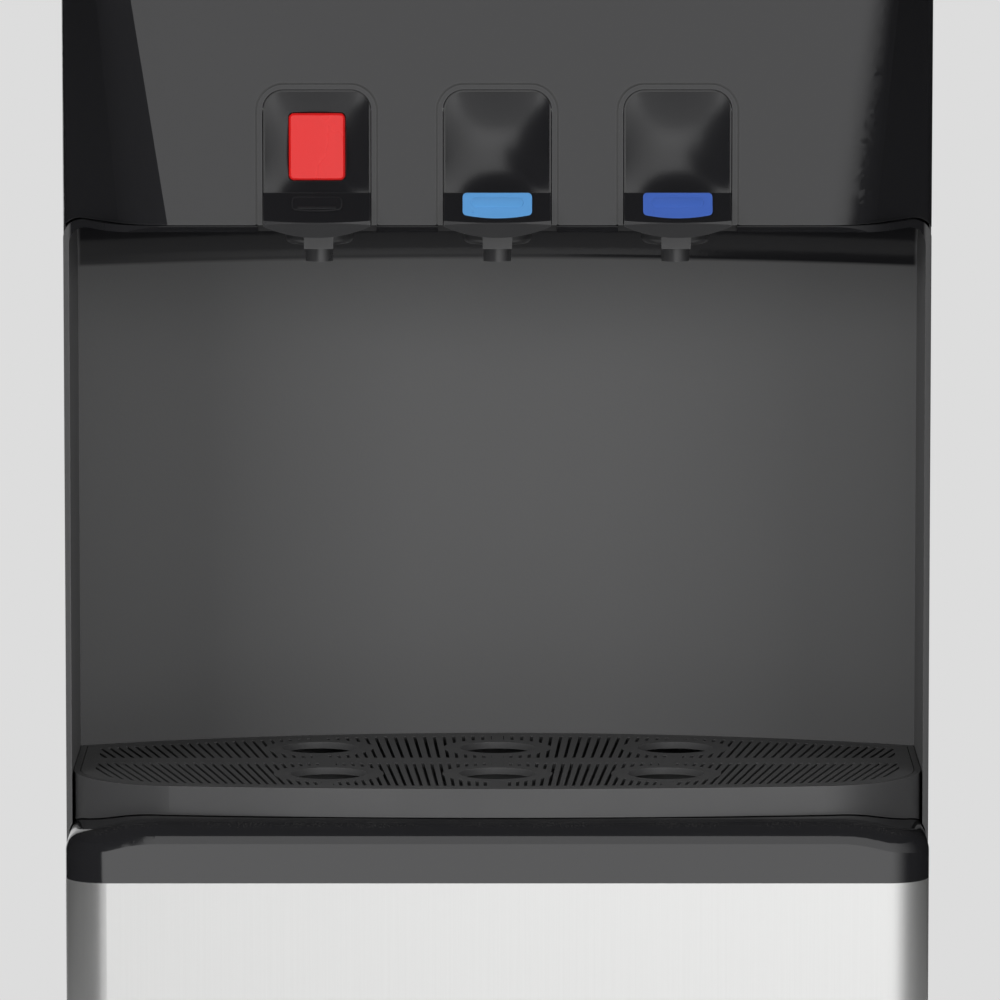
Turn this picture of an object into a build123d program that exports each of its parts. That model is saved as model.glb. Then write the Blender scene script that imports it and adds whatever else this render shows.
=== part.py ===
from build123d import *
import math
import os

# Top-loading water dispenser: three push-in taps over a recessed bay, a drip tray below
# them, a steel lower front, and the tanks, compressor and condenser inside.
# Millimetres, +Z up, front of the machine towards -Y, +X to the viewer's right.
# The origin is on the floor, below the middle of the outer box.

# Case
body_width = 308.0
body_depth = 364.0
sheet = 0.8
gap = 0.3
foot_height = 12.0
foot_radius = 15.0
foot_inset = 34.0
base_height = 36.0
base_wall = 3.0
plinth_step = 3.0
panel_height = 500.5
panel_corner = 15.0
panel_step = 1.5
panel_flange = 9.0
panel_return = 60.0
side_setback = 56.0
side_low = 18.0
rear_flange = 14.0
condenser_space = 24.0

# Tray deck, the black block between the steel panel and the bay
deck_height = 22.0
deck_wall = 2.5
deck_depth = 152.0
deck_shoulder = 25.0
deck_drop = 6.0
deck_blend = 60.0
deck_nose = 8.0

# Bay
bay_height = 209.5
bay_wall = 1.4
bay_ceiling = 2.5
bay_corner = 9.0
bay_depth = 134.5
bay_sag = 31.0
bay_back_wall = 2.0
cove_radius = 20.0
lip_corner = 21.0
lip_round = 24.0
lip_setback = 0.5
lip_face = 0.4
lip_slant = 3.0
paddle_notch = 8.0

# Head
head_height = 185.0
head_setback = 7.0
head_wall = 2.5
head_side = 41.0
head_corner_low = 27.5
head_corner_high = 4.0
head_round_low = 21.5
head_round_high = 6.0
head_side_round = 18.0
head_tab = 18.0
head_tab_reach = 14.0
head_tab_grip = 5.0

# Drip tray and grille
tray_height = 10.2
tray_wall = 2.2
tray_ledge = 1.6
tray_floor = 2.0
tray_bow = 11.5
tray_corner = 40.0
grille_thickness = 2.4
grille_border = 5.0
slat_pitch = 3.2
slat_slot = 1.2
slat_fan = 0.002
rib_depth = 13.0
rib_place = 67.0
cup_hole = 13.6
cup_ring = 19.6
cup_front_place = 36.5
cup_back_place = 98.0
cup_front_spacing = 60.1
cup_back_spacing = 64.5
spoke_width = 4.2
spoke_length = 76.0

# Taps
tap_spacing = 63.0
arch_width = 42.9
arch_height = 50.2
arch_round = 9.8
arch_groove = 0.7
bezel_rim = 1.7
bezel_depth = 22.0
bezel_flange = 4.0
bezel_flange_wall = 1.5
paddle_recess = 0.8
paddle_depth = 11.1
scoop_depth = 4.3
scoop_margin = 0.5
scoop_edge = 0.3
scoop_foot = 13.4
scoop_steps = 5
arm_root = 1.3
chin_bulge = 6.0
chin_bow = 0.5
chin_edge = 1.6
chin_slant = 4.0
chin_foot = 2.5
chin_drop = 4.0
chin_rise = 3.0
label_foot = 3.2
label_height = 8.4
label_width = 24.2
label_raise = 0.6
label_bow = 1.2
label_corner = 1.4
ridge_width = 17.5
ridge_height = 4.6
ridge_place = 2.4
pivot_back = 15.2
pivot_drop = 8.0
pivot_radius = 1.5
pivot_boss = 2.7
pivot_fit = 0.05
arm_inner = 12.0
arm_outer = 15.0
spring_wire = 0.5
lock_width = 19.6
lock_height = 23.4
lock_corner = 1.8
lock_place = 27.6
lock_setback = 1.9
lock_edge = 0.7
lock_rim = 1.4

# Valves and nozzles
nozzle_setback = 40.0
nozzle_flange = 12.0
nozzle_drop = 9.5
nozzle_round = 2.0
nozzle_radius = 4.9
nozzle_bore = 3.0
nozzle_length = 6.4
nozzle_tab = 10.3
nozzle_tab_wall = 2.0
valve_width = 26.0
valve_height = 36.0
valve_rear = 15.0
stem_height = 8.5
stem_radius = 3.0
stem_fit = 0.05
stem_reach = 5.5
stem_head = 4.5
stem_groove = 1.8
pusher_radius = 2.0
inlet_height = 25.0

# Top cover and bottle seat
cover_height = 14.0
cover_wall = 2.5
cover_round = 6.0
cover_hole = 86.0
collar_height = 6.0
collar_radius = 92.0
collar_wall = 5.0
seat_wall = 2.5
seat_fit = 0.5
socket_radius = 31.0
funnel_depth = 31.0
socket_depth = 58.0
probe_radius = 8.7
probe_bore = 5.0
probe_height = 70.0
probe_slot = 5.0
seal_width = 8.0
seal_height = 4.0

# Cold reservoir
tank_radius = 72.0
tank_height = 104.0
tank_wall = 1.0
coil_tube = 2.7
coil_turns = 5
coil_pitch = 16.0
coil_low = 21.0
coil_riser = 2.4
foam_wall = 15.0
shelf_thickness = 1.2
shelf_flange = 16.0
baffle_place = 66.0
baffle_thickness = 2.0
baffle_pipe = 7.0
hose_radius = 4.5
hose_bore = 3.0
hose_bend = 11.0
hose_lane = 13.0
hose_space = 9.5
cold_outlet_x = 30.0
room_outlet_height = 77.0
cold_outlet_height = 8.0

# Hot tank
hot_radius = 48.0
hot_height = 118.0
hot_wall = 1.2
hot_x = -72.0
hot_behind = 56.0
hot_drop = 30.0
jacket_wall = 8.0
heater_height = 24.0
heater_wall = 3.0
heater_place = 30.0
thermostat_radius = 7.5
thermostat_height = 8.0
thermostat_cap = 3.2
bracket_thickness = 1.5
bracket_flange = 18.0
hot_outlet_x = -100.0
feed_x = -40.0
feed_behind = 45.0

# Refrigeration
pot_radius = 62.0
pot_height = 150.0
pot_round = 24.0
pot_y = 50.0
pot_suction = 31.0
pot_foot = 72.0
pot_foot_thickness = 3.0
plate_thickness = 3.0
plate_margin = 14.0
grommet_height = 12.0
grommet_radius = 10.0
bolt_radius = 3.0
bolt_head = 6.0
bolt_head_height = 4.5
pipe_radius = 3.0
pipe_bend = 14.0
pipe_height = 110.0
capillary_radius = 1.5
capillary_bend = 5.0
drier_radius = 9.0
drier_length = 80.0
drier_low = 42.0
riser_space = 18.0
suction_space = 12.0
condenser_width = 236.0
condenser_height = 400.0
condenser_low = 120.0
condenser_passes = 9
condenser_tube = 2.4
condenser_place = 13.0
condenser_port = 104.0
wire_radius = 0.9
wire_count = 14
strap_width = 8.0

# Rear fittings
box_x = 44.0
box_width = 96.0
box_depth = 44.0
box_height = 90.0
box_low = 640.0
box_wall = 2.0
switch_pitch = 40.0
switch_width = 13.0
switch_height = 19.0
switch_depth = 11.0
switch_tilt = 9.0
switch_pin = 1.2
well_wall = 1.5
drain_radius = 5.5
drain_bore = 4.0
drain_drop = 27.0
drain_bend = 12.0
spigot_radius = 8.0
spigot_reach = 14.0
spigot_length = 22.0
cap_wall = 2.5
cap_fit = 0.05
cap_length = 12.0
socket_width = 30.0
socket_height = 22.0
socket_inset = 16.0
socket_edge = 54.0
socket_z = 80.0
socket_corner = 4.4
blade_pitch = 7.0
blade_width = 2.0
blade_height = 4.0
screw_radius = 1.6
screw_head = 3.6
screw_length = 8.0
screw_rows = 5
screw_margin = 42.0
vent_slots = 6
vent_pitch = 14.0
vent_width = 120.0
vent_slot = 5.0

# Places worked out from the sizes above
half_width = body_width / 2
socket_x = socket_edge - half_width
lip_flat = half_width - lip_corner
head_flat_low = half_width - head_corner_low
head_flat_high = half_width - head_corner_high
inner_half = half_width - sheet - gap
panel_half = half_width - panel_step
front_y = -body_depth / 2
reach_y = body_depth / 2
rear_y = reach_y - condenser_space
inside_y = rear_y - sheet - gap
side_y = front_y + side_setback
head_y = front_y + head_setback
corner_y = head_y + head_side
base_z = foot_height
floor_z = base_z + base_wall
panel_z = base_z + base_height
deck_z = panel_z + panel_height
deck_top = deck_z + deck_height
lip_z = deck_top + bay_height
head_top = lip_z + head_height
cover_top = head_top + cover_height
collar_top = cover_top + collar_height
bay_half = inner_half - bay_wall
bay_y = head_y + bay_depth
wall_radius = (bay_half ** 2 + bay_sag ** 2) / (2 * bay_sag)
wall_centre_y = bay_y - wall_radius
ceiling_z = lip_z - bay_ceiling
deck_back = front_y + deck_depth
tray_half = bay_half - gap
tray_top = deck_top + gap + tray_height
seat_z = tray_top - grille_thickness

tap_names = {"hot": -tap_spacing, "room": 0.0, "cold": tap_spacing}
bezel_half = arch_width / 2 - arch_groove
recess_half = bezel_half - bezel_rim
bezel_top = lip_z + arch_height - arch_groove
recess_top = bezel_top - bezel_rim
bezel_low = lip_z + gap
bezel_y = head_y + bezel_depth
paddle_half = recess_half - gap
paddle_top = recess_top - gap
paddle_y = head_y + paddle_recess
paddle_low = lip_z + chin_rise
paddle_back = paddle_y + paddle_depth
paddle_corner = arch_round - arch_groove - bezel_rim - gap
chin_y = head_y - chin_bulge
label_z = lip_z + label_foot
label_top = label_z + label_height
edge_z = label_z - chin_edge
label_lean = (paddle_y - chin_y) / (label_top - edge_z)
lock_y = head_y + lock_setback
pivot_y = head_y + pivot_back
pivot_z = recess_top - pivot_drop

valve_front = bezel_y + gap
nozzle_y = head_y + nozzle_setback
valve_back = nozzle_y + valve_rear
valve_z = lip_z + gap
stem_z = lip_z + stem_height
stem_front = valve_front - stem_reach
inlet_z = valve_z + inlet_height
hose_y = valve_back + hose_lane

shelf_z = lip_z + gap
foam_z = shelf_z + shelf_thickness
tank_z = foam_z + foam_wall
tank_top = tank_z + tank_height
coil_radius = tank_radius + gap + coil_tube
foam_bore = coil_radius + coil_tube + gap
foam_radius = foam_bore + foam_wall
tank_y = hose_y + hose_radius + hose_space + foam_radius
hot_y = tank_y + hot_behind
feed_y = tank_y + feed_behind
coil_z = tank_z + coil_low
coil_top = coil_z + (coil_turns - 1) * coil_pitch
socket_bottom = cover_top - funnel_depth - socket_depth
seal_top = tank_top + seal_height

hot_top = shelf_z - hot_drop
hot_z = hot_top - hot_height
jacket_bore = hot_radius + heater_wall + 2 * gap
jacket_radius = jacket_bore + jacket_wall
jacket_z = hot_z - jacket_wall
bracket_z = jacket_z - bracket_thickness
drain_z = hot_z - drain_drop
pot_z = floor_z + plate_thickness + grommet_height
pipe_z = pot_z + pipe_height
condenser_y = rear_y + condenser_place
condenser_top = condenser_low + condenser_height
box_y = inside_y - box_depth
switch_z = box_low + box_height / 2
rocker_y = rear_y - switch_depth / 2
riser_x = foam_radius + riser_space
riser_y = box_y + box_depth / 2
suction_x = riser_x + suction_space
suction_y = pot_suction


def face_of(outline):
    """Face inside a closed outline drawn in the XY plane."""
    return make_face(outline.edges())


def rounded(points, radii):
    """Closed polygon with one radius for each corner; 0 leaves it sharp."""
    return FilletPolyline(*points, radius=radii, close=True)


def block(x0, x1, y0, y1, z0, z1):
    """Box between two corners."""
    return Pos((x0 + x1) / 2, (y0 + y1) / 2, (z0 + z1) / 2) * Box(x1 - x0, y1 - y0, z1 - z0)


def post(x, y, z0, z1, radius):
    """Vertical cylinder."""
    return Pos(x, y, (z0 + z1) / 2) * Cylinder(radius, z1 - z0)


def rod_y(x, z, y0, y1, radius):
    """Cylinder along Y."""
    return Pos(x, (y0 + y1) / 2, z) * Rot(90, 0, 0) * Cylinder(radius, y1 - y0)


def rod_x(y, z, x0, x1, radius):
    """Cylinder along X."""
    return Pos((x0 + x1) / 2, y, z) * Rot(0, 90, 0) * Cylinder(radius, x1 - x0)


def prism(outline, z0, z1):
    """XY outline pushed up from z0 to z1."""
    return extrude(Pos(0, 0, z0) * face_of(outline), z1 - z0)


def upright(face, y):
    """Face drawn in X and Z, stood up at one Y."""
    return Plane((0, y, 0), x_dir=(1, 0, 0), z_dir=(0, -1, 0)) * face


def prism_y(outline, y0, y1):
    """XZ outline pushed along Y from y0 to y1."""
    return extrude(upright(face_of(outline), y0), y0 - y1)


def prism_x(outline, x0, x1):
    """YZ outline pushed along X from x0 to x1."""
    plane = Plane((x0, 0, 0), x_dir=(0, 1, 0), z_dir=(1, 0, 0))
    return extrude(plane * face_of(outline), x1 - x0)


def turned(points):
    """Solid turned about the Z axis from a closed polygon of radius and height."""
    section = Plane.XZ * face_of(Polyline(*points, close=True))
    return revolve(section, Axis.Z)


def tube_along(points, radius, bore, bend):
    """Tube along straight runs joined by tangent arcs."""
    path = FilletPolyline(*points, radius=bend) if len(points) > 2 else Line(*points)
    section = Circle(radius)
    if bore > 0:
        section -= Circle(bore)
    return sweep(Plane(path @ 0, z_dir=path % 0) * section, path=path)


def group(pieces):
    """Several separate solids kept in one node."""
    solids = []
    for piece in pieces:
        solids.extend(piece.solids())
    return Compound(solids)


def case_outline(half, front, corner, back):
    """Plan of the lower case: a flat front with rounded corners."""
    points = [(-half, back), (-half, front), (half, front), (half, back)]
    return rounded(points, [0, corner, corner, 0])


def screw_levels():
    """Heights of the screws along each rear edge."""
    low = panel_z + screw_margin
    high = head_top - screw_margin
    return [low + (high - low) * i / (screw_rows - 1) for i in range(screw_rows)]


def screw_places():
    x = half_width - rear_flange / 2
    return [(side * x, z) for side in (-1, 1) for z in screw_levels()]


def foot_places():
    x = half_width - foot_inset
    return [(side * x, y) for side in (-1, 1) for y in (front_y + foot_inset, rear_y - foot_inset)]


def make_feet():
    feet = []
    for x, y in foot_places():
        pad = post(x, y, 0, foot_height, foot_radius)
        feet.append(chamfer(pad.edges().group_by(Axis.Z)[0], foot_height / 8))
    return group(feet)


def make_base_pan():
    front = front_y + plinth_step
    back = inside_y - sheet - gap
    pan = prism(case_outline(inner_half, front, panel_corner, back), base_z, panel_z)
    inner = case_outline(inner_half - base_wall, front + base_wall, panel_corner - base_wall,
                         back - base_wall)
    return pan - prism(inner, floor_z, panel_z + 1)


def make_side_panel(side):
    """Flat sheet with an inward flange along its rear edge."""
    top = head_top - gap
    panel = block(half_width - sheet, half_width, side_y, inside_y, side_low, top)
    panel += block(half_width - rear_flange, half_width, inside_y - sheet, inside_y, side_low, top)
    for x, z in screw_places():
        panel -= rod_y(x, z, inside_y - screw_length, rear_y, screw_radius)
    return panel if side > 0 else mirror(panel, about=Plane.YZ)


def make_rear_panel():
    panel = block(-half_width, half_width, rear_y - sheet, rear_y, side_low, head_top - gap)
    for x, z in screw_places():
        panel -= rod_y(x, z, inside_y, rear_y + 1, screw_radius)
    for x in switch_places():
        panel -= well_block(x, gap, inside_y, rear_y + 1)
    panel -= rod_y(hot_x, drain_z, inside_y, rear_y + 1, spigot_radius + gap)
    panel -= rod_y(-condenser_port, condenser_top, inside_y, rear_y + 1, condenser_tube + gap)
    panel -= rod_y(condenser_port, condenser_low, inside_y, rear_y + 1, condenser_tube + gap)
    panel -= socket_block(gap, inside_y, rear_y + 1)
    for i in range(vent_slots):
        z = tank_top - i * vent_pitch
        panel -= block(-vent_width / 2, vent_width / 2, inside_y, rear_y + 1, z, z + vent_slot)
    return panel


def make_case_screws():
    screws = []
    for x, z in screw_places():
        shank = rod_y(x, z, rear_y - screw_length, rear_y, screw_radius)
        screws.append(shank + rod_y(x, z, rear_y, rear_y + screw_radius, screw_head))
    return group(screws)


def make_front_panel():
    """Folded steel front: skin, side returns and an inward flange above and below."""
    z0 = panel_z
    z1 = deck_z
    back = front_y + panel_return
    outer = prism(case_outline(panel_half, front_y, panel_corner, back), z0, z1)
    skin = case_outline(panel_half - sheet, front_y + sheet, panel_corner - sheet, back + 1)
    throat = case_outline(panel_half - panel_flange, front_y + panel_flange,
                          panel_corner - panel_flange, back + 1)
    return outer - prism(skin, z0 + sheet, z1 - sheet) - prism(throat, z0 - 1, z1 + 1)


def deck_outline(grow, turn):
    """XZ section of the deck: a flat top whose ends fall away."""
    half = panel_half + grow
    flat = panel_half - deck_shoulder
    top = deck_top + grow
    low = deck_z - deck_height
    points = [(-half, low), (-half, top - deck_drop), (-flat, top), (flat, top),
              (half, top - deck_drop), (half, low)]
    return rounded(points, [0, turn, deck_blend, deck_blend, turn, 0])


def deck_rim(deck):
    """Upper edges of the deck's front, corners and sides."""
    rim = []
    for edge in deck.edges():
        middle = edge.center()
        outer = middle.Y < front_y + panel_corner or abs(middle.X) > panel_half - deck_wall
        if outer and middle.Z > deck_top - deck_drop - deck_wall:
            rim.append(edge)
    return rim


def make_tray_deck():
    deck = prism(case_outline(panel_half, front_y, panel_corner, deck_back), deck_z, deck_top)
    deck &= prism_y(deck_outline(0, 0), front_y, deck_back)
    deck = fillet(deck_rim(deck), deck_nose)
    inner = case_outline(panel_half - deck_wall, front_y + deck_wall, panel_corner - deck_wall,
                         deck_back - deck_wall)
    return deck - prism(inner, deck_z - 1, deck_top - deck_drop - 2 * deck_wall)


def lip_outline():
    """Plan of the bay's rim: a flat front with long rounded corners."""
    front = head_y + lip_setback
    side = corner_y + lip_setback
    points = [(-half_width, 0), (-half_width, side), (-lip_flat, front), (lip_flat, front),
              (half_width, side), (half_width, 0)]
    return rounded(points, [0, head_side_round, lip_round, lip_round, head_side_round, 0])


def bay_outline(half, top, corner):
    """XZ outline of the bay with rounded upper corners."""
    points = [(-half, deck_z), (-half, top), (half, top), (half, deck_z)]
    return rounded(points, [0, corner, corner, 0])


def make_bay_wall():
    """Concave back wall with a cove up to the ceiling, turned about one centre."""
    inner = wall_radius
    outer = wall_radius + bay_back_wall
    low = ceiling_z - cove_radius
    bend = cove_radius * (1 - math.sqrt(0.5))
    edge = Polyline((inner, low), (inner, deck_z), (outer, deck_z), (outer, ceiling_z + bay_ceiling / 2),
                    (inner - cove_radius, ceiling_z + bay_ceiling / 2), (inner - cove_radius, ceiling_z))
    edge += ThreePointArc((inner - cove_radius, ceiling_z), (inner - bend, ceiling_z - bend), (inner, low))
    sweep_angle = 2 * math.degrees(math.asin(inner_half / (inner - cove_radius))) + 4
    band = revolve(Plane.XZ * face_of(edge), Axis.Z, sweep_angle)
    band = Pos(0, wall_centre_y, 0) * Rot(0, 0, 90 - sweep_angle / 2) * band
    half = bay_half + bay_wall / 2
    return band & block(-half, half, wall_centre_y, 0, deck_z, lip_z)


def lip_undercut():
    """Wedge under the lip's front edge, which leaves only a thin face to the front."""
    front = head_y + lip_setback
    face_z = lip_z - lip_face
    points = [(front - 1, face_z), (front, face_z), (front + lip_slant, ceiling_z),
              (front + lip_slant, ceiling_z - 1), (front - 1, ceiling_z - 1)]
    return prism_x(Polyline(*points, close=True), -lip_flat, lip_flat)


def make_bay_liner():
    tube = prism_y(bay_outline(inner_half, lip_z, bay_corner), front_y, bay_y + bay_back_wall)
    rim = prism_y(bay_outline(half_width, lip_z, bay_corner), front_y, side_y - gap)
    liner = (tube + rim) & prism(lip_outline(), deck_z, lip_z + 1)
    liner &= post(0, wall_centre_y, deck_z, lip_z, wall_radius + bay_back_wall)
    liner -= prism_y(bay_outline(bay_half, ceiling_z, bay_corner - bay_wall), front_y - 1, 0)
    liner += make_bay_wall()
    liner -= lip_undercut()
    liner -= prism_y(deck_outline(gap, deck_nose), front_y - 1, 0)
    for x in tap_names.values():
        liner -= post(x, nozzle_y, ceiling_z - 1, lip_z + 1, nozzle_flange + gap)
        liner -= block(x - bezel_half, x + bezel_half, front_y, head_y + paddle_notch,
                       ceiling_z - 1, lip_z + 1)
    return liner


def head_outline(flat, corner, inset, back):
    """Plan of the head: flat front, slanting corner facets and short sides."""
    half = half_width - inset
    front = head_y + inset
    side = corner_y + inset / 2
    points = [(-half, back), (-half, side), (inset / 2 - flat, front), (flat - inset / 2, front),
              (half, side), (half, back)]
    turn = head_side_round - inset
    return rounded(points, [0, turn, corner - inset, corner - inset, turn, 0])


def head_block(inset, back, z0, z1):
    """Body of the head between two heights; its front narrows towards the lip."""
    faces = []
    for z in (z0, z1):
        share = (z - lip_z) / head_height
        flat = head_flat_low + (head_flat_high - head_flat_low) * share
        corner = head_round_low + (head_round_high - head_round_low) * share
        faces.append(Pos(0, 0, z) * face_of(head_outline(flat, corner, inset, back)))
    return loft(faces, ruled=True)


def arch_outline(half, top, low, corner):
    points = [(-half, low), (-half, top), (half, top), (half, low)]
    return rounded(points, [0, corner, corner, 0])


def make_head_cover():
    low = lip_z - bay_corner
    back = side_y - gap
    cover = head_block(0, back, low, head_top)
    cover -= head_block(head_wall, back + 1, low - 1, head_top + 1)
    cover -= prism_y(bay_outline(half_width + 1, lip_z + gap, bay_corner), front_y, 0)
    for x in tap_names.values():
        outline = arch_outline(arch_width / 2, lip_z + arch_height, lip_z - 1, arch_round)
        cover -= Pos(x, 0, 0) * prism_y(outline, front_y, head_y + head_wall + 1)
    for z in (lip_z + head_height / 4, head_top - head_height / 4):
        tab = block(half_width - 2 * head_wall, inner_half, back - head_tab_grip, back + head_tab_reach,
                    z - head_tab / 2, z + head_tab / 2)
        cover += tab
        cover += mirror(tab, about=Plane.YZ)
    return cover


def make_top_cover():
    z0 = head_top
    outline = head_outline(head_flat_high, head_round_high, 0, rear_y)
    cover = prism(outline, z0, cover_top)
    cover = fillet(cover.edges().group_by(Axis.Z)[-1], cover_round)
    inner = head_outline(head_flat_high, head_round_high, cover_wall, rear_y - cover_wall)
    cover -= prism(inner, z0 - 1, cover_top - cover_wall)
    cover += post(0, tank_y, cover_top - cover_wall, collar_top, collar_radius + collar_wall)
    cover -= post(0, tank_y, cover_top, collar_top + 1, collar_radius)
    return cover - post(0, tank_y, z0 - 1, collar_top, cover_hole)


def tray_face(inset):
    """Plan of the tray: bowed front with rounded corners, arc along the back wall."""
    half = tray_half - inset
    front = head_y + inset
    side_front = front + tray_bow
    back = bay_y - gap - inset
    side_back = back - bay_sag
    edge = ThreePointArc((-half, side_front), (0, front), (half, side_front))
    edge += Line((half, side_front), (half, side_back))
    edge += ThreePointArc((half, side_back), (0, back), (-half, side_back))
    edge += Line((-half, side_back), (-half, side_front))
    plate = face_of(edge)
    corners = plate.vertices().group_by(Axis.Y)[0]
    return fillet(corners, tray_corner - inset)


def tray_prism(inset, z0, z1):
    return extrude(Pos(0, 0, z0) * tray_face(inset), z1 - z0)


def make_drip_tray():
    tray = tray_prism(0, deck_z, tray_top)
    tray -= tray_prism(tray_wall, seat_z - gap, tray_top + 1)
    tray -= tray_prism(tray_wall + tray_ledge, deck_top + gap + tray_floor, tray_top + 1)
    return tray - prism_y(deck_outline(gap, deck_nose), front_y - 1, 0)


def cup_rows():
    """Y place and spacing of the front and back rows of cup holes."""
    return [(head_y + cup_front_place, cup_front_spacing), (head_y + cup_back_place, cup_back_spacing)]


def slat_slots():
    """Narrow slots whose lean grows towards the ends, like a fan."""
    slots = []
    count = int(tray_half // slat_pitch)
    middle = head_y + rib_place
    for i in range(-count, count):
        x = (i + 0.5) * slat_pitch
        lean = math.degrees(math.atan(x * slat_fan))
        slots.append(Pos(x, middle) * Rot(0, 0, -lean) * Rectangle(slat_slot, 2 * bay_depth))
    return slots


def make_drip_grille():
    inset = tray_wall + gap
    keep = Pos(0, head_y + rib_place) * Rectangle(body_width, rib_depth)
    for y, spacing in cup_rows():
        for k in (-1, 0, 1):
            keep += Pos(k * spacing, y) * Circle(cup_ring)
            keep += Pos(k * spacing, y) * Rectangle(spoke_width, spoke_length)
    slots = (Sketch() + slat_slots()) & tray_face(inset + grille_border)
    plate = tray_face(inset) - (slots - keep)
    for y, spacing in cup_rows():
        for k in (-1, 0, 1):
            plate -= Pos(k * spacing, y) * Circle(cup_hole)
    return extrude(Pos(0, 0, seat_z) * plate, grille_thickness)


def make_bezel(x):
    """Arched frame with a flange behind the head's wall."""
    outline = arch_outline(bezel_half, bezel_top, bezel_low, arch_round - arch_groove)
    bezel = prism_y(outline, head_y, bezel_y)
    flange = arch_outline(bezel_half + bezel_flange, bezel_top + bezel_flange, bezel_low, arch_round)
    bezel += prism_y(flange, head_y + head_wall, head_y + head_wall + bezel_flange_wall)
    recess = arch_outline(recess_half, recess_top, lip_z, arch_round - arch_groove - bezel_rim)
    bezel -= prism_y(recess, head_y - 1, bezel_y + 1)
    bezel -= rod_x(pivot_y, pivot_z, -bezel_half, bezel_half, pivot_radius)
    return Pos(x, 0, 0) * bezel


def make_chin():
    """Foot of the paddle: a leaning label face with a bowed front edge, undercut below."""
    low = lip_z - chin_drop
    back = chin_y + chin_slant + chin_foot
    side = [(paddle_y, label_top), (chin_y, edge_z), (chin_y + chin_slant, low), (back, low),
            (back, paddle_low), (paddle_back, paddle_low), (paddle_back, label_top)]
    chin = prism_x(Polyline(*side, close=True), -paddle_half, paddle_half)
    ends = chin_y + chin_bow
    plan = ThreePointArc((-paddle_half, ends), (0, chin_y), (paddle_half, ends))
    plan += Polyline((paddle_half, ends), (paddle_half, paddle_back), (-paddle_half, paddle_back),
                     (-paddle_half, ends))
    chin &= prism(plan, low, label_top)
    corner = lip_z + gap
    smile = ThreePointArc((-paddle_half, corner), (0, low), (paddle_half, corner))
    smile += Polyline((paddle_half, corner), (paddle_half, label_top), (-paddle_half, label_top),
                      (-paddle_half, corner))
    return chin & prism_y(smile, chin_y, paddle_back)


def scoop_level(z, depth):
    """Plan of the scoop at one height: its floor is an arc of the given depth."""
    half = paddle_half - scoop_margin
    edge = paddle_y + scoop_edge
    outline = ThreePointArc((-half, edge), (0, edge + depth), (half, edge))
    outline += Polyline((half, edge), (half, chin_y), (-half, chin_y), (-half, edge))
    return Pos(0, 0, z) * face_of(outline)


def scoop_levels():
    """Plans of the scoop from its lower edge, over its deepest place, to its top."""
    top = paddle_top - scoop_margin
    deep_z = label_top + scoop_foot
    levels = [scoop_level(label_top, scoop_edge)]
    for i in range(1, scoop_steps + 1):
        share = i / scoop_steps
        depth = scoop_depth * (1 - (1 - share) ** 2) + scoop_edge * (1 - share) ** 2
        levels.append(scoop_level(label_top + scoop_foot * share, depth))
    for i in range(1, scoop_steps + 1):
        share = i / scoop_steps
        depth = scoop_depth * (1 - share ** 2) + scoop_edge * share ** 2
        levels.append(scoop_level(deep_z + (top - deep_z) * share, depth))
    return levels


def paddle_blank():
    """Arched plate with a smooth scoop for the finger."""
    plate = prism_y(arch_outline(paddle_half, paddle_top, paddle_low, paddle_corner), paddle_y, paddle_back)
    frame = arch_outline(paddle_half - scoop_margin, paddle_top - scoop_margin, label_top,
                         paddle_corner - scoop_margin)
    return plate - (loft(scoop_levels()) & prism_y(frame, chin_y, paddle_back))


def label_solid(half, z0, z1, bow, corner):
    """Thin plate lying on the paddle's leaning label face."""
    foot = paddle_y - label_lean * (label_top - edge_z)
    points = [(foot, edge_z), (foot - label_raise, edge_z), (paddle_y - label_raise, label_top),
              (paddle_y, label_top)]
    slab = prism_x(Polyline(*points, close=True), -half, half)
    outline = ThreePointArc((-half, z0 + bow), (0, z0), (half, z0 + bow))
    outline += Polyline((half, z0 + bow), (half, z1), (-half, z1), (-half, z0 + bow))
    face = fillet(face_of(outline).vertices(), corner)
    return slab & extrude(upright(face, chin_y - 1), chin_y - 1 - paddle_y)


def make_paddle(name, x):
    paddle = paddle_blank() + make_chin()
    for side in (-1, 1):
        x0 = min(side * arm_inner, side * arm_outer)
        arm = block(x0, x0 + arm_outer - arm_inner, paddle_back - arm_root, pivot_y,
                    pivot_z - pivot_boss, pivot_z + pivot_boss)
        paddle += arm + rod_x(pivot_y, pivot_z, x0, x0 + arm_outer - arm_inner, pivot_boss)
    pusher_y = stem_front - gap - pusher_radius
    paddle += block(-pusher_radius, pusher_radius, paddle_back - arm_root, pusher_y,
                    stem_z - pusher_radius, stem_z + pusher_radius)
    paddle += rod_x(pusher_y, stem_z, -pusher_radius, pusher_radius, pusher_radius)
    paddle -= rod_x(pivot_y, pivot_z, -arm_outer - 1, arm_outer + 1, pivot_radius + pivot_fit)
    if name == "hot":
        ridge_z = label_z + ridge_place
        paddle += label_solid(ridge_width / 2, ridge_z, ridge_z + ridge_height, label_bow / 2, label_corner)
        paddle -= lock_block(gap, head_y, paddle_back + 1)
    return Pos(x, 0, 0) * paddle


def lock_block(grow, y0, y1):
    half = lock_width / 2 + grow
    low = lip_z + lock_place - lock_height / 2 - grow
    high = lip_z + lock_place + lock_height / 2 + grow
    outline = rounded([(-half, low), (half, low), (half, high), (-half, high)], lock_corner)
    return prism_y(outline, y0, y1)


def make_lock_button(x):
    """Square child-lock button with a rim behind the paddle that keeps it in."""
    button = lock_block(0, lock_y, paddle_back + gap)
    button = chamfer(button.edges().group_by(Axis.Y)[0], lock_edge)
    button += lock_block(lock_rim, paddle_back + gap, paddle_back + gap + lock_rim)
    return Pos(x, 0, 0) * button


def make_label(x):
    return Pos(x, 0, 0) * label_solid(label_width / 2, label_z, label_top, label_bow, label_corner)


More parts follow.
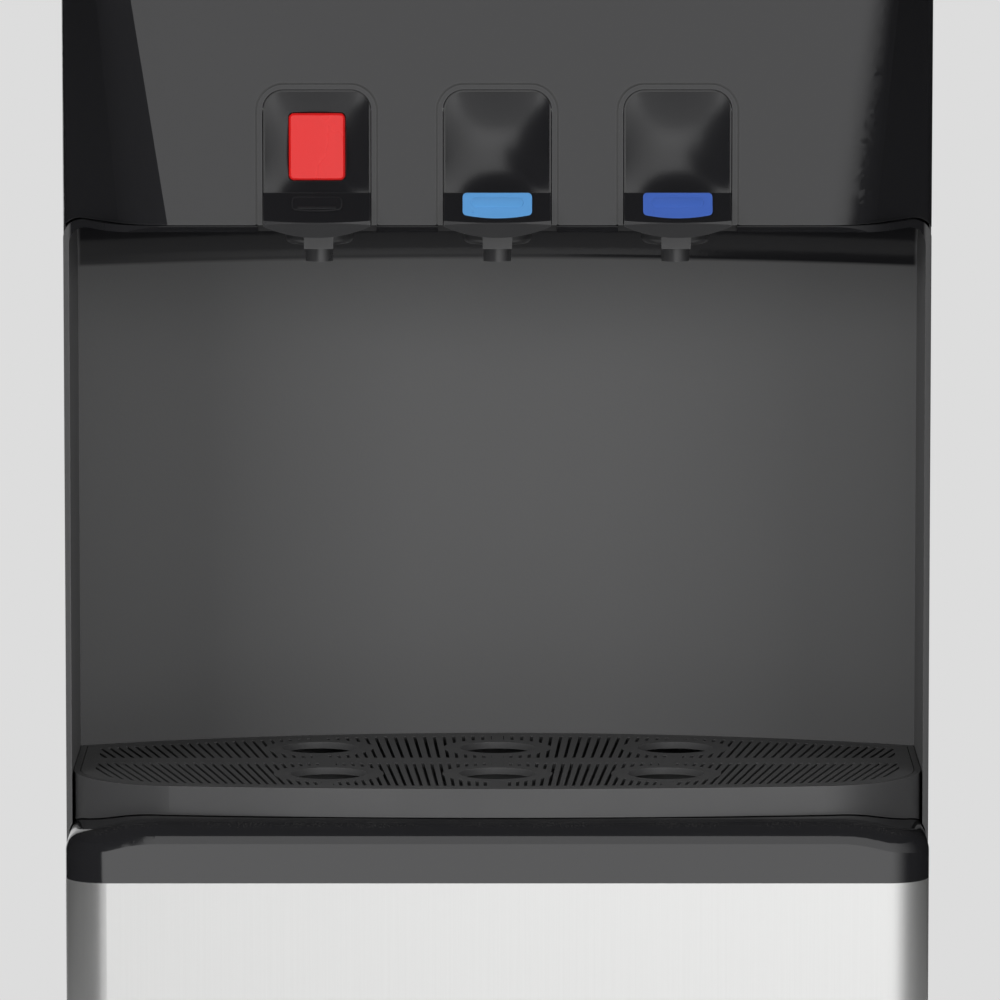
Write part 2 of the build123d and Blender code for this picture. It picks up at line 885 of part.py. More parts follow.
def make_pivot_pins():
    pins = []
    for x in tap_names.values():
        for side in (-1, 1):
            x0 = min(side * (arm_inner - gap), side * bezel_half)
            length = bezel_half - arm_inner + gap
            pins.append(rod_x(pivot_y, pivot_z, x + x0, x + x0 + length, pivot_radius))
    return group(pins)


def make_paddle_springs():
    """Torsion spring coils on the pivot pins, beside the paddles' arms."""
    springs = []
    inner = pivot_radius + gap
    low = arm_outer + gap
    length = recess_half - gap - low
    turns = int(length / (2 * spring_wire))
    for x in tap_names.values():
        for side in (-1, 1):
            start = x + min(side * low, side * (low + length))
            coil = rod_x(pivot_y, pivot_z, start, start + length, inner + spring_wire)
            for i in range(turns):
                at = start + 2 * i * spring_wire
                coil += rod_x(pivot_y, pivot_z, at, at + spring_wire, inner + 2 * spring_wire)
            springs.append(coil - rod_x(pivot_y, pivot_z, start - 1, start + length + 1, inner))
    return group(springs)


def make_valve(x):
    """Valve body: stem bore from the front, inlet from the back, outlet down."""
    half = valve_width / 2
    body = block(-half, half, valve_front, valve_back, valve_z, valve_z + valve_height)
    body = fillet(body.edges().group_by(Axis.Z)[-1], half / 4)
    body -= rod_y(0, stem_z, valve_front - 1, nozzle_y + 3 * stem_radius, stem_radius + stem_fit)
    body -= rod_y(0, inlet_z, nozzle_y, valve_back + 1, hose_bore)
    body -= post(0, nozzle_y, valve_z - 1, inlet_z, nozzle_bore)
    return Pos(x, 0, 0) * body


def make_stem(x):
    """Valve stem with a waist that lets water through when it is pushed in."""
    stem = rod_y(0, stem_z, stem_front, nozzle_y + stem_radius + gap, stem_radius)
    stem += rod_y(0, stem_z, stem_front, stem_front + spring_wire * 3, stem_head)
    waist = nozzle_y - stem_reach / 2 - stem_radius
    ring = rod_y(0, stem_z, waist - stem_radius, waist + stem_radius / 2, stem_radius + 1)
    ring -= rod_y(0, stem_z, waist - stem_radius, waist + stem_radius / 2, stem_groove)
    return Pos(x, 0, 0) * (stem - ring)


def make_nozzle(x):
    """Spout: a cup-shaped flange, a front tab and a straight tip."""
    flange_z = lip_z - nozzle_drop
    tip_z = flange_z - nozzle_length
    nozzle = post(0, 0, flange_z, valve_z, nozzle_flange)
    nozzle = fillet(nozzle.edges().group_by(Axis.Z)[0], nozzle_round)
    nozzle += post(0, 0, tip_z, flange_z + 1, nozzle_radius)
    nozzle += block(-nozzle_tab / 2, nozzle_tab / 2, -nozzle_flange - nozzle_tab_wall, 0,
                    flange_z - nozzle_tab_wall / 2, lip_z - bay_ceiling - gap)
    nozzle -= post(0, 0, tip_z - 1, valve_z + 1, nozzle_bore)
    return Pos(x, nozzle_y, 0) * nozzle


def make_funnel(joint_z):
    """Cone that takes the bottle's shoulder, with a flange above and a skirt on the seal."""
    rim = collar_radius - seat_fit
    rim_z = cover_top + gap
    top = rim_z + seat_wall
    mouth = cover_hole - seat_wall - 2 * seat_fit
    outer = socket_radius + seat_wall
    funnel = turned([(socket_radius, joint_z), (outer, joint_z), (mouth + seat_wall, rim_z), (rim, rim_z),
                     (rim, top), (mouth, top), (socket_radius, joint_z + seat_wall)])
    skirt = tank_radius - tank_wall - seal_width / 2
    slope = (rim_z - joint_z) / (mouth + seat_wall - outer)
    skirt_top = joint_z + slope * (skirt - outer)
    funnel += turned([(skirt - seat_wall, seal_top), (skirt, seal_top), (skirt, skirt_top),
                      (skirt - seat_wall, skirt_top)])
    return funnel


def make_probe(floor_top):
    """Feed probe that opens the bottle's cap, with slots near its tip."""
    tip = floor_top + probe_height
    neck = tip - probe_radius
    hollow = neck - probe_radius
    probe = turned([(probe_bore, floor_top), (probe_radius, floor_top), (probe_radius, neck),
                    (probe_radius / 3, tip), (0, tip), (0, hollow), (probe_bore, hollow)])
    reach = probe_radius + 1
    return probe - block(-reach, reach, -probe_slot / 2, probe_slot / 2, hollow - 2 * probe_radius,
                         hollow - probe_radius)


def make_bottle_seat():
    """Funnel, socket and feed probe, lifted out together."""
    outer = socket_radius + seat_wall
    joint_z = cover_top - funnel_depth - seat_wall
    floor_top = socket_bottom + seat_wall
    socket = turned([(probe_bore, socket_bottom), (outer, socket_bottom), (outer, joint_z),
                     (socket_radius, joint_z), (socket_radius, floor_top), (probe_bore, floor_top)])
    return Pos(0, tank_y, 0) * group([make_funnel(joint_z), socket, make_probe(floor_top)])


def make_seat_seal():
    inner = tank_radius - seal_width
    ring = turned([(inner, tank_top), (tank_radius, tank_top), (tank_radius, seal_top), (inner, seal_top)])
    return Pos(0, tank_y, 0) * ring


def make_cold_tank():
    front = tank_y - tank_radius - 1
    tank = post(0, tank_y, tank_z, tank_top, tank_radius)
    tank -= post(0, tank_y, tank_z + tank_wall, tank_top + 1, tank_radius - tank_wall)
    tank -= rod_y(cold_outlet_x, tank_z + cold_outlet_height, front, tank_y, hose_bore)
    tank -= rod_y(0, tank_z + room_outlet_height, front, tank_y, hose_bore)
    return tank - post(feed_x, feed_y, tank_z - 1, tank_z + 2 * tank_wall, hose_bore)


def make_baffle():
    """Plate that keeps the warm water above the cold, on a pipe that feeds the hot tank."""
    z = tank_z + baffle_place
    plate = post(0, tank_y, z, z + baffle_thickness, tank_radius - tank_wall - gap)
    plate += post(feed_x, feed_y, tank_z + tank_wall, z, baffle_pipe)
    plate -= post(feed_x, feed_y, tank_z, z + baffle_thickness + 1, baffle_pipe - baffle_thickness)
    return plate - post(tank_radius / 2, tank_y, z - 1, z + baffle_thickness + 1, baffle_pipe)


def make_evaporator_coil():
    """Rings of tube round the reservoir, joined by a riser at the back."""
    coil = post(0, tank_y + coil_radius, coil_z, coil_top, coil_riser)
    for i in range(coil_turns):
        coil += Pos(0, tank_y, coil_z + i * coil_pitch) * Torus(coil_radius, coil_tube)
    return coil


def make_tank_foam():
    front = tank_y - foam_radius - 1
    foam = post(0, tank_y, foam_z, tank_top, foam_radius)
    foam -= post(0, tank_y, tank_z, tank_top + 1, foam_bore)
    foam -= post(feed_x, feed_y, foam_z - 1, tank_z + 1, hose_radius + gap)
    foam -= rod_y(cold_outlet_x, tank_z + cold_outlet_height, front, tank_y, hose_radius + gap)
    foam -= rod_y(0, tank_z + room_outlet_height, front, tank_y, hose_radius + gap)
    foam -= rod_x(tank_y, coil_z, 0, foam_radius + 1, capillary_radius + gap)
    return foam - rod_x(suction_y, coil_top, 0, foam_radius, pipe_radius + gap)


def make_tank_shelf():
    front = bay_y + bay_back_wall
    shelf = block(-inner_half, inner_half, front, inside_y - sheet, shelf_z, foam_z)
    for side in (-1, 1):
        x0 = min(side * inner_half, side * (inner_half - shelf_thickness))
        shelf += block(x0, x0 + shelf_thickness, front, inside_y - sheet, foam_z, foam_z + shelf_flange)
    shelf -= post(feed_x, feed_y, shelf_z - 1, foam_z + 1, hose_radius + gap)
    shelf -= post(hot_outlet_x, hot_y, shelf_z - 1, foam_z + 1, hose_radius + gap)
    shelf -= post(riser_x, riser_y, shelf_z - 1, foam_z + 1, capillary_radius + gap)
    return shelf - post(suction_x, suction_y, shelf_z - 1, foam_z + 1, pipe_radius + gap)


def make_hot_tank():
    tank = post(hot_x, hot_y, hot_z, hot_top, hot_radius)
    tank -= post(hot_x, hot_y, hot_z + hot_wall, hot_top - hot_wall, hot_radius - hot_wall)
    tank -= post(hot_outlet_x, hot_y, hot_top - 2 * hot_wall, hot_top + 1, hose_bore)
    tank -= post(feed_x, feed_y, hot_top - 2 * hot_wall, hot_top + 1, hose_bore)
    return tank - post(hot_x, hot_y, hot_z - 1, hot_z + 2 * hot_wall, drain_bore)


def make_hot_jacket():
    jacket = post(hot_x, hot_y, jacket_z, hot_top, jacket_radius)
    jacket -= post(hot_x, hot_y, hot_z, hot_top + 1, jacket_bore)
    return jacket - post(hot_x, hot_y, jacket_z - 1, hot_z + 1, drain_radius + gap)


def make_heater_band():
    z = hot_z + heater_place
    band = post(hot_x, hot_y, z, z + heater_height, hot_radius + gap / 2 + heater_wall)
    return band - post(hot_x, hot_y, z - 1, z + heater_height + 1, hot_radius + gap / 2)


def make_thermostats():
    pads = []
    for side in (-1, 1):
        y = hot_y + side * 2 * thermostat_radius
        pad = post(hot_x, y, hot_top, hot_top + thermostat_height, thermostat_radius)
        cap_z = hot_top + thermostat_height
        cap = post(hot_x, y, cap_z, cap_z + thermostat_cap, thermostat_radius / 2)
        pads.append(pad + cap)
    return group(pads)


def make_tank_bracket():
    x1 = hot_x + jacket_radius
    y0 = hot_y - jacket_radius
    bracket = block(-inner_half, x1, y0, inside_y - sheet, bracket_z, jacket_z)
    bracket += block(-inner_half, bracket_thickness - inner_half, y0, inside_y - sheet,
                     jacket_z - bracket_flange, jacket_z)
    bracket += block(-inner_half, x1, inside_y - sheet - bracket_thickness, inside_y - sheet, jacket_z,
                     jacket_z + bracket_flange)
    return bracket - post(hot_x, hot_y, bracket_z - 1, jacket_z + 1, drain_radius + gap)


def make_drain_pipe():
    """Drain from the hot tank's floor to a threaded spigot behind the rear panel."""
    end = rear_y + spigot_reach
    pipe = tube_along([(hot_x, hot_y, hot_z), (hot_x, hot_y, drain_z), (hot_x, end, drain_z)],
                      drain_radius, drain_bore, drain_bend)
    spigot = rod_y(hot_x, drain_z, end - spigot_length, end, spigot_radius)
    spigot -= rod_y(hot_x, drain_z, end - spigot_length - 1, end + 1, drain_bore)
    return pipe + spigot


def make_drain_cap():
    end = rear_y + spigot_reach
    cap = rod_y(hot_x, drain_z, end + gap - cap_length + cap_wall, end + gap + cap_wall,
                spigot_radius + cap_fit + cap_wall)
    return cap - rod_y(hot_x, drain_z, rear_y, end + gap, spigot_radius + cap_fit)


def make_compressor():
    pot = post(0, pot_y, pot_z, pot_z + pot_height, pot_radius)
    pot = fillet(pot.edges().group_by(Axis.Z)[-1], pot_round)
    pot = fillet(pot.edges().group_by(Axis.Z)[0], pot_round / 2)
    foot = block(-pot_foot - grommet_radius, pot_foot + grommet_radius, pot_y - pot_foot, pot_y + pot_foot,
                 pot_z, pot_z + pot_foot_thickness)
    for x, y in pot_foot_places():
        foot -= post(x, y, pot_z - 1, pot_z + pot_foot_thickness + 1, bolt_radius + gap)
    terminal = block(-pot_radius / 4, pot_radius / 4, pot_y - pot_radius - 2 * pot_foot_thickness, pot_y,
                     pot_z + pot_height / 3, pot_z + pot_height / 2)
    return pot + foot + terminal


def pot_foot_places():
    y = pot_foot - grommet_radius
    return [(sx * pot_foot, pot_y + sy * y) for sx in (-1, 1) for sy in (-1, 1)]


def make_compressor_plate():
    reach = pot_foot + grommet_radius + plate_margin
    plate = block(-reach, reach, pot_y - reach, pot_y + pot_foot + plate_margin, floor_z,
                  floor_z + plate_thickness)
    for x, y in pot_foot_places():
        plate -= post(x, y, floor_z - 1, pot_z, bolt_radius)
    return plate


def make_grommets():
    rings = []
    for x, y in pot_foot_places():
        ring = post(x, y, floor_z + plate_thickness, pot_z, grommet_radius)
        rings.append(ring - post(x, y, floor_z, pot_z + 1, bolt_radius + gap))
    return group(rings)


def make_compressor_bolts():
    bolts = []
    for x, y in pot_foot_places():
        top = pot_z + pot_foot_thickness
        bolt = post(x, y, floor_z, top, bolt_radius)
        bolts.append(bolt + post(x, y, top, top + bolt_head_height, bolt_head))
    return group(bolts)


def make_refrigerant_pipes():
    """Discharge, liquid line with its drier, capillary and suction pipe."""
    port_y = inside_y - 3 * pipe_radius
    drier_z = condenser_low + drier_low
    drier_top = drier_z + drier_length
    pot_left = pipe_radius - pot_radius
    coil_outer = coil_radius + coil_tube
    suction_start = math.sqrt(coil_outer ** 2 - (suction_y - pipe_radius - tank_y) ** 2)
    discharge = tube_along([(pot_left, pot_y, pipe_z), (-condenser_port, pot_y, pipe_z),
                            (-condenser_port, pot_y, condenser_top),
                            (-condenser_port, port_y, condenser_top)], pipe_radius, 0, pipe_bend)
    liquid = tube_along([(condenser_port, port_y, condenser_low), (condenser_port, riser_y, condenser_low),
                         (riser_x, riser_y, drier_z)], capillary_radius, 0, capillary_bend)
    drier = post(riser_x, riser_y, drier_z, drier_top, drier_radius)
    drier = chamfer(drier.edges(), drier_radius / 2)
    capillary = tube_along([(riser_x, riser_y, drier_top), (riser_x, riser_y, coil_z),
                            (riser_x, tank_y, coil_z), (coil_outer, tank_y, coil_z)],
                           capillary_radius, 0, capillary_bend)
    suction = tube_along([(suction_start, suction_y, coil_top), (suction_x, suction_y, coil_top),
                          (suction_x, suction_y, pipe_z), (pot_suction, suction_y, pipe_z)],
                         pipe_radius, 0, pipe_bend)
    pot = make_compressor()
    return group([discharge - pot, liquid + drier, capillary, suction - pot])


def make_condenser():
    """Serpentine tube behind the rear panel with vertical wires on both its sides."""
    half = condenser_width / 2
    pitch = condenser_height / (condenser_passes - 1)
    inner_y = inside_y - 3 * pipe_radius
    points = [(-condenser_port, inner_y, condenser_top), (-condenser_port, condenser_y, condenser_top)]
    for i in range(condenser_passes):
        z = condenser_top - i * pitch
        side = 1 if i % 2 == 0 else -1
        if i > 0:
            points.append((-side * half, condenser_y, z))
        if i < condenser_passes - 1:
            points.append((side * half, condenser_y, z))
    points.append((condenser_port, condenser_y, condenser_low))
    points.append((condenser_port, inner_y, condenser_low))
    turn = (pitch - condenser_tube) / 2
    bends = [condenser_place / 2] + [turn] * (len(points) - 4) + [condenser_place / 2]
    path = FilletPolyline(*points, radius=bends)
    tube = sweep(Plane(path @ 0, z_dir=path % 0) * Circle(condenser_tube), path=path)
    solids = [tube]
    offset = condenser_tube + wire_radius + gap / 6
    span = condenser_width - 4 * condenser_tube - 2 * turn
    for i in range(wire_count):
        x = -span / 2 + span * i / (wire_count - 1)
        for y in (condenser_y - offset, condenser_y + offset):
            solids.append(post(x, y, condenser_low - pitch / 4, condenser_top + pitch / 4, wire_radius))
    return group(solids)


def make_condenser_straps():
    """Side straps that hold the condenser's bends and keep the machine off the wall."""
    straps = []
    inner = condenser_width / 2 + condenser_tube + gap
    for side in (-1, 1):
        x0 = min(side * inner, side * (inner + strap_width))
        straps.append(block(x0, x0 + strap_width, rear_y, reach_y, condenser_low - 2 * strap_width,
                            condenser_top + 2 * strap_width))
    return group(straps)


def make_water_hoses():
    """Hot, room and cold hoses from the tanks to the valves."""
    cold_z = tank_z + cold_outlet_height
    room_z = tank_z + room_outlet_height
    hot = [(hot_outlet_x, hot_y, hot_top), (hot_outlet_x, hot_y, inlet_z), (hot_outlet_x, hose_y, inlet_z),
           (-tap_spacing, hose_y, inlet_z), (-tap_spacing, valve_back, inlet_z)]
    tank_front = tank_y - tank_radius
    room = [(0, tank_front + tank_wall, room_z), (0, hose_y, room_z), (0, hose_y, inlet_z),
            (0, valve_back, inlet_z)]
    cold = [(cold_outlet_x, tank_front + 3 * hose_bend, cold_z), (cold_outlet_x, hose_y, cold_z),
            (tap_spacing, hose_y, inlet_z), (tap_spacing, valve_back, inlet_z)]
    hoses = [tube_along(points, hose_radius, hose_bore, hose_bend) for points in (hot, room, cold)]
    core = post(0, tank_y, tank_z, tank_top, tank_radius)
    return group([hoses[0], hoses[1] - core, hoses[2] - core])


def make_feed_hose():
    hose = post(feed_x, feed_y, hot_top, tank_z, hose_radius)
    return hose - post(feed_x, feed_y, hot_top - 1, tank_z + 1, hose_bore)


def switch_places():
    return [box_x - switch_pitch / 2, box_x + switch_pitch / 2]


def well_block(x, grow, y0, y1):
    """Outside of one switch well."""
    half = switch_width / 2 + gap + well_wall + grow
    high = switch_height / 2 + 4 * gap + well_wall + grow
    return block(x - half, x + half, y0, y1, switch_z - high, switch_z + high)


def make_control_box():
    """Electrical box open below, with two switch wells through the rear panel."""
    left = box_x - box_width / 2
    right = box_x + box_width / 2
    top = box_low + box_height
    box = block(left, right, box_y, inside_y, box_low, top)
    box -= block(left + box_wall, right - box_wall, box_y + box_wall, inside_y - box_wall, box_low - 1,
                 top - box_wall)
    well_y = rear_y - switch_depth
    for x in switch_places():
        box += well_block(x, 0, well_y - well_wall, rear_y + well_wall / 2)
        box -= well_block(x, -well_wall, well_y, rear_y + well_wall)
        box -= rod_x(rocker_y, switch_z, x - switch_width / 2 - gap - well_wall / 2,
                     x + switch_width / 2 + gap + well_wall / 2, switch_pin + pivot_fit)
    return box


def make_rocker(x):
    """Rocker with an obtuse face, drawn with its upper half pressed in."""
    half = switch_height / 2
    rise = half * math.tan(math.radians(switch_tilt))
    face = well_wall + rise
    points = [(-switch_depth / 4, half / 2), (-switch_depth / 4, -half / 2), (0, -half),
              (switch_depth / 2 + face, -half), (switch_depth / 2 + face - rise, 0),
              (switch_depth / 2 + face, half), (0, half)]
    rocker = prism_x(Polyline(*points, close=True), -switch_width / 2, switch_width / 2)
    pin = switch_width / 2 + gap + well_wall / 3
    rocker += rod_x(0, 0, -pin, pin, switch_pin)
    return Pos(x, rocker_y, switch_z) * Rot(switch_tilt, 0, 0) * rocker


def socket_block(grow, y0, y1):
    half = socket_width / 2 + grow
    high = socket_height / 2 + grow
    outline = rounded([(socket_x - half, socket_z - high), (socket_x + half, socket_z - high),
                       (socket_x + half, socket_z + high), (socket_x - half, socket_z + high)],
                      socket_corner + grow)
    return prism_y(outline, y0, y1)


def make_power_inlet():
    """Recessed mains inlet: a housing with a flange on the rear panel, and three blades on its floor."""
    floor_y = rear_y - socket_inset + well_wall
    housing = socket_block(0, rear_y - socket_inset, rear_y)
    housing += socket_block(well_wall * 2, rear_y, rear_y + well_wall)
    housing -= socket_block(-well_wall, floor_y, rear_y + 2 * well_wall)
    blades = []
    for k in (-1, 0, 1):
        x0 = socket_x + k * blade_pitch - blade_width / 2
        blades.append(block(x0, x0 + blade_width, floor_y, rear_y - well_wall,
                            socket_z - blade_height / 2, socket_z + blade_height / 2))
    return group([housing, *blades])


def all_parts():
    parts = {
        "feet": make_feet(),
        "base_pan": make_base_pan(),
        "side_panel_left": make_side_panel(-1),
        "side_panel_right": make_side_panel(1),
        "rear_panel": make_rear_panel(),
        "case_screws": make_case_screws(),
        "front_panel": make_front_panel(),
        "tray_deck": make_tray_deck(),
        "bay_liner": make_bay_liner(),
        "head_cover": make_head_cover(),
        "top_cover": make_top_cover(),
        "drip_tray": make_drip_tray(),
        "drip_grille": make_drip_grille(),
        "lock_button": make_lock_button(tap_names["hot"]),
        "label_room": make_label(tap_names["room"]),
        "label_cold": make_label(tap_names["cold"]),
        "pivot_pins": make_pivot_pins(),
        "paddle_springs": make_paddle_springs(),
        "bottle_seat": make_bottle_seat(),
        "seat_seal": make_seat_seal(),
        "cold_tank": make_cold_tank(),
        "baffle": make_baffle(),
        "evaporator_coil": make_evaporator_coil(),
        "tank_foam": make_tank_foam(),
        "tank_shelf": make_tank_shelf(),
        "hot_tank": make_hot_tank(),
        "hot_jacket": make_hot_jacket(),
        "heater_band": make_heater_band(),
        "thermostats": make_thermostats(),
        "tank_bracket": make_tank_bracket(),
        "drain_pipe": make_drain_pipe(),
        "drain_cap": make_drain_cap(),
        "compressor": make_compressor(),
        "compressor_plate": make_compressor_plate(),
        "grommets": make_grommets(),
        "compressor_bolts": make_compressor_bolts(),
        "refrigerant_pipes": make_refrigerant_pipes(),
        "condenser": make_condenser(),
        "condenser_straps": make_condenser_straps(),
        "water_hoses": make_water_hoses(),
        "feed_hose": make_feed_hose(),
        "control_box": make_control_box(),
        "power_inlet": make_power_inlet(),
    }
    for name, x in tap_names.items():
        parts["bezel_" + name] = make_bezel(x)
        parts["paddle_" + name] = make_paddle(name, x)
        parts["valve_" + name] = make_valve(x)
        parts["stem_" + name] = make_stem(x)
        parts["nozzle_" + name] = make_nozzle(x)
    for name, x in zip(("heat", "cool"), switch_places()):
        parts["rocker_" + name] = make_rocker(x)
    return parts


os.makedirs("parts", exist_ok=True)
for part_name, part in all_parts().items():
    export_step(part, "parts/" + part_name + ".step")
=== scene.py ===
# %% [markdown]
# A top-loading water dispenser, dressed on its CAD frame. The frame brings every rigid
# piece in place and at its real size. What is left for this file is what the eye reads:
# glossy and satin black mouldings, brushed steel, coloured keys, and small fittings.

# %% Load the frame
import bmesh
import bpy
import math
from mathutils import Matrix, Vector


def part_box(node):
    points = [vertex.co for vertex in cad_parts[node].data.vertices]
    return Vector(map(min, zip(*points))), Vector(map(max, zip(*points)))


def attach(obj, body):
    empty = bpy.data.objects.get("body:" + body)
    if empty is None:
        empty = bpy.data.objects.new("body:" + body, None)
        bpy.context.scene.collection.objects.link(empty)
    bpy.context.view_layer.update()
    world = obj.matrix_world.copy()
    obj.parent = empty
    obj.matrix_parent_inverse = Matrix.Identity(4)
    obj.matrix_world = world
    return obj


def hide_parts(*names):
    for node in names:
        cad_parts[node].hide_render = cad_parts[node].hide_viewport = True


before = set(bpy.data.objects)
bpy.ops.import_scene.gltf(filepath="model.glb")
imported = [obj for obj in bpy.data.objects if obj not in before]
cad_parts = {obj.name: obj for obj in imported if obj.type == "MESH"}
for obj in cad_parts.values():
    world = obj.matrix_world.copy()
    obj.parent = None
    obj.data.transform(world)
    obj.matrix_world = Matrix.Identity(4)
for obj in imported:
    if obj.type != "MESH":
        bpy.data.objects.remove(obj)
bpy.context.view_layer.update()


# %% [markdown]
# The photograph was taken with a long lens from about three metres, looking down by seven
# degrees. A long lens keeps the sides of the box almost parallel. The camera stands a
# millimetre right of the middle because the object sits that far left in the picture.

# %% Camera
CAMERA_PLACE = (0.00094, -3.2824, 1.0651)
CAMERA_PITCH = 7.0
CAMERA_LENS = 321.35
CAMERA_SENSOR = 36.0
CAMERA_SIGHT = 50.0

camera_data = bpy.data.cameras.new("camera")
camera_data.lens = CAMERA_LENS
camera_data.sensor_width = CAMERA_SENSOR
camera_data.clip_end = CAMERA_SIGHT
camera = bpy.data.objects.new("camera", camera_data)
camera.location = CAMERA_PLACE
camera.rotation_euler = (math.radians(90 - CAMERA_PITCH), 0, 0)
bpy.context.scene.collection.objects.link(camera)
bpy.context.scene.camera = camera
print("camera at", CAMERA_PLACE)


# %% [markdown]
# A shader tree is easier to read when its nodes are made and wired in one line each. These
# helpers do that. A node's input takes either a number or another node's output.

# %% Node helpers
def add(tree, kind, **settings):
    """Node with its properties set."""
    node = tree.nodes.new(kind)
    for label, value in settings.items():
        setattr(node, label, value)
    return node


def feed(tree, socket, source):
    """Wire an output to a socket, or set a plain value on it."""
    if isinstance(source, bpy.types.NodeSocket):
        tree.links.new(source, socket)
    else:
        socket.default_value = source


def math_node(tree, operation, first, second=0.0, clamp=False):
    """Math node fed by outputs or numbers."""
    node = add(tree, "ShaderNodeMath", operation=operation, use_clamp=clamp)
    feed(tree, node.inputs[0], first)
    feed(tree, node.inputs[1], second)
    return node.outputs[0]


def remap(tree, value, from_min, from_max, to_min=0.0, to_max=1.0, smooth=False):
    """Map Range node fed by outputs or numbers."""
    node = add(tree, "ShaderNodeMapRange", interpolation_type="SMOOTHSTEP" if smooth else "LINEAR")
    for label, source in (("Value", value), ("From Min", from_min), ("From Max", from_max),
                          ("To Min", to_min), ("To Max", to_max)):
        feed(tree, node.inputs[label], source)
    return node.outputs["Result"]


def noise_node(tree, vector, scale, detail):
    """Noise texture's value."""
    node = add(tree, "ShaderNodeTexNoise")
    feed(tree, node.inputs["Vector"], vector)
    feed(tree, node.inputs["Scale"], scale)
    node.inputs["Detail"].default_value = detail
    return node.outputs["Fac"]


def bump_node(tree, height, strength, distance):
    """Normal from a height."""
    node = add(tree, "ShaderNodeBump")
    feed(tree, node.inputs["Height"], height)
    feed(tree, node.inputs["Strength"], strength)
    node.inputs["Distance"].default_value = distance
    return node.outputs["Normal"]


def object_place(tree):
    """A point's place in the object's own coordinates."""
    return add(tree, "ShaderNodeTexCoord").outputs["Object"]


def start_material(name):
    """Material with its tree and its Principled shader."""
    material = bpy.data.materials.new(name)
    material.use_nodes = True
    tree = material.node_tree
    return material, tree, tree.nodes["Principled BSDF"]


print("helpers ready")


# %% [markdown]
# The floor and the sky share one pale grey. Seen by the camera or in a reflection, the sky
# has exactly that grey and the far floor glows with it, so the backdrop has no seam. Near
# the object the floor is ordinary matt paper, and the object's shadow falls on it.

# %% Sky and floor
PAPER = (0.723, 0.723, 0.723, 1)
SKY_FILL = 0.46
FLOOR_REACH = 14.0
SHADOW_REACH = 1.1
BLEND_REACH = 2.3
PAPER_ROUGHNESS = 0.9


def seen_directly(tree):
    """1 for rays that come from the camera, a reflection or a clear body."""
    rays = add(tree, "ShaderNodeLightPath")
    seen = math_node(tree, "MAXIMUM", rays.outputs["Is Camera Ray"], rays.outputs["Is Glossy Ray"])
    return math_node(tree, "MAXIMUM", seen, rays.outputs["Is Transmission Ray"])


def stage_sheet(name, rows, material):
    """Sheet through rows of points; it belongs to the studio, not to the object."""
    count = len(rows[0])
    points = [point for row in rows for point in row]
    faces = [(r * count + c, r * count + c + 1, (r + 1) * count + c + 1, (r + 1) * count + c)
             for r in range(len(rows) - 1) for c in range(count - 1)]
    mesh = bpy.data.meshes.new(name)
    mesh.from_pydata(points, [], faces)
    mesh.materials.append(material)
    sheet = bpy.data.objects.new(name, mesh)
    bpy.context.scene.collection.objects.link(sheet)
    return sheet


world = bpy.data.worlds.new("studio")
bpy.context.scene.world = world
world.use_nodes = True
sky = world.node_tree
background = sky.nodes["Background"]
background.inputs["Color"].default_value = PAPER
feed(sky, background.inputs["Strength"], remap(sky, seen_directly(sky), 0.0, 1.0, SKY_FILL, 1.0))
world.cycles.sampling_method = "NONE"

paper, tree, matt = start_material("paper")
matt.inputs["Base Color"].default_value = PAPER
matt.inputs["Roughness"].default_value = PAPER_ROUGHNESS
matt.inputs["Specular IOR Level"].default_value = 0.0
distance = add(tree, "ShaderNodeVectorMath", operation="LENGTH")
tree.links.new(object_place(tree), distance.inputs[0])
far = remap(tree, distance.outputs["Value"], SHADOW_REACH, BLEND_REACH, smooth=True)
glow = add(tree, "ShaderNodeEmission")
glow.inputs["Color"].default_value = PAPER
blend = add(tree, "ShaderNodeMixShader")
feed(tree, blend.inputs[0], math_node(tree, "MULTIPLY", far, seen_directly(tree)))
tree.links.new(matt.outputs[0], blend.inputs[1])
tree.links.new(glow.outputs[0], blend.inputs[2])
tree.links.new(blend.outputs[0], tree.nodes["Material Output"].inputs["Surface"])

spans = (-FLOOR_REACH, FLOOR_REACH)
stage_sheet("floor", [[(x, y, 0) for x in spans] for y in spans], paper)
print("sky and floor set")


# %% [markdown]
# Black gloss plastic has almost no colour of its own. What shows on it is the studio. A tall
# softbox stands in front: it starts sharply on the left and fades out towards the right, as
# the photograph's reflections do. A low, wide and brighter one under it lights the steel and
# the tray. Black felt, seen by reflections only, closes the studio beside and above them.

# %% Softboxes and felt
BOX_RADIUS = 2.4
BOX_SPLIT = 0.38
BOX_TOP = 1.9
TALL_BOX = {"left": -7.0, "fade": 4.0, "right": 95.0, "level": 1.54}
LOW_BOX = {"left": -18.0, "fade": 9.0, "right": 60.0, "level": 2.15}
FELT_LEFT = -150.0
FELT_RIGHT = 175.0
ARC_STEP = 5.0
ROOF_LAP = 0.1
FELT = (0.002, 0.002, 0.002, 1)


def wall_rows(radius, start, end, low, high):
    """Two rows of points round the object, for a curved wall; 0 degrees is the front."""
    steps = max(2, round((end - start) / ARC_STEP))
    turns = [math.radians(start + (end - start) * i / steps) for i in range(steps + 1)]
    return [[(radius * math.sin(t), -radius * math.cos(t), z) for t in turns] for z in (low, high)]


def hide_from(item, *rays):
    """Keep an object out of some kinds of ray."""
    for ray in rays:
        setattr(item, "visible_" + ray, False)


